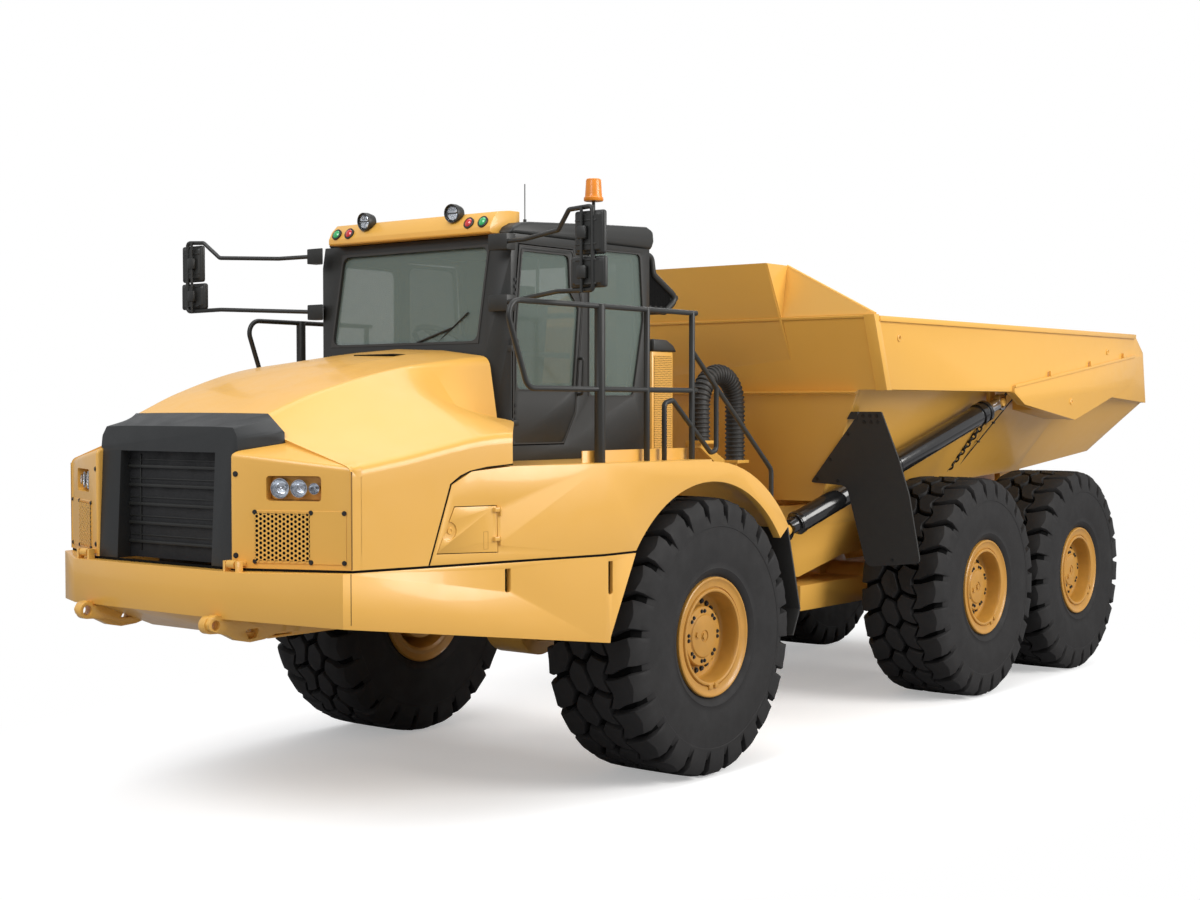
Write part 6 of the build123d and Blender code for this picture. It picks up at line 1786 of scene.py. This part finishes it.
class HAULER_OT_bed_trim(bpy.types.Operator):
    """Fit the bed's corner posts, rails, bosses, flaps, chains and hoist collars"""
    bl_idname = "hauler.bed_trim"
    bl_label = "Bed trim"

    def execute(self, context):
        def by_chain(spot):
            return (abs(spot.x - at(CHAIN_STATION, 0.0, 0.0).x) < 0.0235 and 0.95 < abs(spot.y) < 1.66
                    and 1.85 < spot.z < 2.66)

        for hand, _ in HANDS:
            piece = patched(f"bed_side_{hand}_finished", f"bed_side_{hand}", by_chain)
            bevel(piece, 0.004)
            place(piece, "bed", "yellow_paint", paint(), (f"bed_side_{hand}",))
        piece = Assembly("bed_ribs")
        self.posts(piece)
        for station, height, out in ((-2373.0, 3008.0, 1766.5), (-6482.0, 3008.0, 1766.5), (-5621.0, 2526.0, 1774.5)):
            piece.add(lathe(((0.0, 0.030), (0.007, 0.029), (0.010, 0.025), (0.010, 0.017), (0.002, 0.014),
                             (0.002, 0.0)), 32), paint(), Matrix.Translation(at(station, out, height)), mirrored=True)
        piece.done("bed", "yellow_paint", (), 32.0)
        self.headboard()
        self.flaps()
        self.chains()
        self.hoists()
        self.hose()
        return {"FINISHED"}

    def headboard(self):
        """The front wall, its headboard's centre leaning ahead of the wings and joined by gussets."""
        piece = in_scene(merged_copy("bed_front_finished", "bed_front"))
        for side in (1, -1):
            low_y, high_y = sorted((side * 951.0, side * 1900.0))
            carve(piece, box_form(at(-2700.0, low_y, 3177.0), at(-1500.0, high_y, 3700.0)))
        bevel(piece, 0.004)
        place(piece, "bed", "yellow_paint", paint(), ("bed_front",))
        piece = Assembly("bed_headboard_wings")
        wing = [(-1968.0, 940.0, 3150.0), (-1968.0, 1778.0, 3150.0), (-1972.0, 1778.0, 3176.0),
                (-2048.0, 952.0, 3576.0), (-2040.0, 940.0, 3576.0)]
        piece.add(prism(*([at(s - back, y, z) for s, y, z in wing] for back in (30.0, 0.0))), paint(), mirrored=True)
        piece.add(tube([at(-1990.0, 1775.0, 3178.0), at(-2060.0, 950.0, 3580.0)], 0.013, 10), paint(), mirrored=True)
        piece.add(across([(-1752.0, 3583.0), (-2060.0, 3583.0), (-1990.0, 3172.0), (-2112.0, 2846.0),
                          (-2104.0, 2846.0), (-1962.0, 3164.0), (-1952.0, 3180.0)], 938.0, 962.0, 0.003), paint(),
                  mirrored=True)
        piece.done("bed", "yellow_paint", (), 30.0)

    def posts(self, piece):
        """Corner posts, the front wall's break line and the side panel's rails."""
        slope = (2600.0 - 1970.0) / (3160.0 - 1710.0)

        def face(height):
            return -1970.0 - slope * (3160.0 - height)

        # height, inner width, outer width
        ends = ([(face(z) + out, y, z) for out, y in ((16.0, inner), (16.0, outer), (-62.0, outer), (-62.0, inner))]
                for z, inner, outer in ((2602.0, 1664.0, 1764.0), (3176.0, 1690.0, 1789.0)))
        piece.add(block_between(*ends, 0.006), paint(), mirrored=True)
        piece.add(across([(face(3150.0) - 4.0, 3150.0), (face(3150.0) + 13.0, 3150.0), (face(3170.0) + 13.0, 3168.0),
                          (face(3170.0) - 4.0, 3172.0)], -1690.0, 1690.0, 0.003), paint())
        start, end = (-4420.0, 2668.0), (-7150.0, 2992.0)
        run = Vector((end[0] - start[0], end[1] - start[1])).normalized()
        rise = Vector((-run.y, run.x)) * (-26.0)
        piece.add(across([start, end, (end[0] - rise.x, end[1] - rise.y), (start[0] - rise.x, start[1] - rise.y)],
                         1772.0, 1786.0, 0.004), paint(), mirrored=True)
        for station in (-5150.0, -6050.0, -6850.0):
            height = start[1] + (station - start[0]) / (end[0] - start[0]) * (end[1] - start[1])
            piece.add(box_form(at(station - 10.0, 1770.0, height - 4.0), at(station + 10.0, 1790.0, height + 46.0),
                               0.003), paint(), mirrored=True)

    def flaps(self):
        """Rubber flaps ahead of the rear wheels, bolted along their top."""
        piece = Assembly("bed_mudflaps_finished")
        outline = [(1480.0, 2440.0), (892.0, 1868.0), (1222.0, 1848.0), (1250.0, 1180.0), (1748.0, 1236.0),
                   (1768.0, 1790.0), (1738.0, 2075.0), (1668.0, 2440.0)]
        radii = [14.0, 14.0, 60.0, 60.0, 60.0, 200.0, 100.0, 14.0]
        loop = rounded(outline, radii, 5)
        lean = 0.41

        def face(width, height, depth=0.0):
            return at(-2273.0 + lean * (height - 2446.0) - depth, width, height)

        piece.add(prism(*([face(y, z, depth) for y, z in loop] for depth in (0.0, 17.0))), sheet_rubber(),
                  mirrored=True)
        hanger = block_between([(-2420.0, 1354.0, 2380.0), (-2292.0, 1354.0, 2380.0), (-2292.0, 1450.0, 2380.0),
                                (-2420.0, 1450.0, 2380.0)],
                               [(-2420.0, 1392.0, 2440.0), (-2290.0, 1392.0, 2440.0), (-2290.0, 1450.0, 2440.0),
                                (-2420.0, 1450.0, 2440.0)])
        piece.add(hanger, satin_black(), mirrored=True)
        spots = [(1500.0, 2408.0), (1560.0, 2408.0), (1620.0, 2408.0), (1500.0, 2360.0), (1560.0, 2360.0),
                 (1620.0, 2360.0), (1330.0, 2262.0), (1120.0, 2058.0), (960.0, 1900.0), (1150.0, 1886.0),
                 (1500.0, 1250.0)]
        bolts = [(face(y, z), (1.0, 0.0, -lean)) for y, z in spots]
        piece.add(fasteners(bolts, 0.012, 0.006, dark_steel()), dark_steel(), mirrored=True)
        piece.done("bed", "rubber", ("bed_mudflaps",), 30.0)

    def chains(self):
        """The chain and cable that hold up each hoist's pin."""
        piece = Assembly("hoist_chains")
        chain = [at(CHAIN_STATION, 1560.0, 2590.0), at(CHAIN_STATION, 1000.0, 1905.0)]
        piece.add(rings_along(chain, 0.044, 0.0190, 0.0075, dark_steel(), 1.55, 1.0), dark_steel(), mirrored=True)
        cable = [at(-4860.0, 1560.0, 2560.0), at(-4860.0, 1010.0, 1925.0)]
        piece.add(tube(cable, 0.0055, 8), iron(), mirrored=True)
        clamp = Vector((0.012, 0.012, 0.010))
        for share in (0.35, 0.62):
            spot = cable[0].lerp(cable[1], share)
            piece.add(box_form(spot - clamp, spot + clamp, 0.003), iron(), mirrored=True)
        piece.done("bed", "black_paint", (), 40.0)

    def hoists(self):
        """Collars, a pipe and clamps on each hoist barrel."""
        foot, eye = at(-2020.0, 960.0, 1510.0), at(-4500.0, 1600.0, 2520.0)
        run = (eye - foot).normalized()
        turn = run.to_track_quat("Y", "Z").to_matrix().to_4x4()
        for hand, side in HANDS:
            piece = Assembly(f"hoist_collars_{hand}")
            seat = Matrix.Diagonal((1.0, side, 1.0, 1.0)) @ Matrix.Translation(foot) @ turn
            for low, high, radius in ((0.128, 0.165, 0.0970), (1.330, 1.360, 0.0940), (2.440, 2.485, 0.0990),
                                      (2.520, 2.551, 0.0970)):
                piece.add(lathe(((low, 0.0895), (low, radius - 0.003), (low + 0.003, radius), (high - 0.003, radius),
                                 (high, radius - 0.003), (high, 0.0895)), 40), cylinder_black(), seat)
            pipe = [Vector((0.0, 0.190, 0.085)), Vector((0.0, 0.190, 0.116)), Vector((0.0, 2.400, 0.116)),
                    Vector((0.0, 2.400, 0.085))]
            lower = seat @ Matrix.Rotation(radians(-118), 4, "Y")
            piece.add(tube(smooth_run(pipe, 0.02, 4), 0.012, 12), cylinder_black(), lower)
            for along in (0.70, 1.34, 2.00):
                piece.add(box_form((-0.022, along - 0.012, 0.080), (0.022, along + 0.012, 0.134), 0.004),
                          dark_steel(), lower)
            piece.done(f"hoist_barrel_{hand}", "black_paint", (), 35.0)

    def hose(self):
        """The ribbed air hose behind the cab."""
        low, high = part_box("hose")
        radius = (high.y - low.y) / 2
        y = (low.y + high.y) / 2
        path = [at(-1370.0, 0.0, 2220.0), at(-1370.0, 0.0, 2490.0)]
        path += [at(-1610.0 + 240.0 * cos(pi * k / 16), 0.0, 2490.0 + 240.0 * sin(pi * k / 16)) for k in range(1, 16)]
        path += [at(-1850.0, 0.0, 2490.0), at(-1850.0, 0.0, 2062.0)]
        path = [Vector((p.x, y, p.z)) for p in path]
        piece = Assembly("hose_finished")
        piece.add(tube(path, radius - 0.010, 28), sheet_rubber())
        piece.add(rings_along(path, 0.034, radius - 0.009, 0.010, sheet_rubber()), sheet_rubber())
        piece.done(body_of("hose"), "rubber", ("hose",), 40.0)


OPERATORS = (
    HAULER_OT_stage,
    HAULER_OT_painted_panels,
    HAULER_OT_black_panels,
    HAULER_OT_tyres,
    HAULER_OT_rims,
    HAULER_OT_hood,
    HAULER_OT_grille,
    HAULER_OT_roof,
    HAULER_OT_lower_panels,
    HAULER_OT_cab_trim,
    HAULER_OT_bed_trim,
)
SETTINGS = (
    ("hauler_colours", HaulerColours),
    ("hauler_tyre", HaulerTyre),
    ("hauler_wheel", HaulerWheel),
    ("hauler_stage", HaulerStage),
)


class HAULER_PT_panel(bpy.types.Panel):
    """Lists the pieces in the sidebar."""
    bl_idname = "HAULER_PT_panel"
    bl_label = "Articulated Dump Truck"
    bl_space_type = "VIEW_3D"
    bl_region_type = "UI"
    bl_category = "Hauler"

    def draw(self, context):
        for operator in OPERATORS:
            self.layout.operator(operator.bl_idname)
        for name, kind in SETTINGS:
            box = self.layout.box()
            for label in kind.__annotations__:
                box.prop(getattr(context.scene, name), label)


def register():
    """Register the classes and hang the settings on the scene."""
    for kind in [kind for _, kind in SETTINGS] + list(OPERATORS) + [HAULER_PT_panel]:
        bpy.utils.register_class(kind)
    for name, kind in SETTINGS:
        setattr(bpy.types.Scene, name, PointerProperty(type=kind))


def unregister():
    """Undo what register does."""
    for name, _ in SETTINGS:
        delattr(bpy.types.Scene, name)
    for kind in [HAULER_PT_panel] + list(reversed(OPERATORS)) + [kind for _, kind in reversed(SETTINGS)]:
        bpy.utils.unregister_class(kind)


def main():
    """Build every piece."""
    register()
    for operator in OPERATORS:
        group, name = operator.bl_idname.split(".")
        getattr(getattr(bpy.ops, group), name)()
    bpy.context.view_layer.update()


if __name__ == "__main__":
    main()
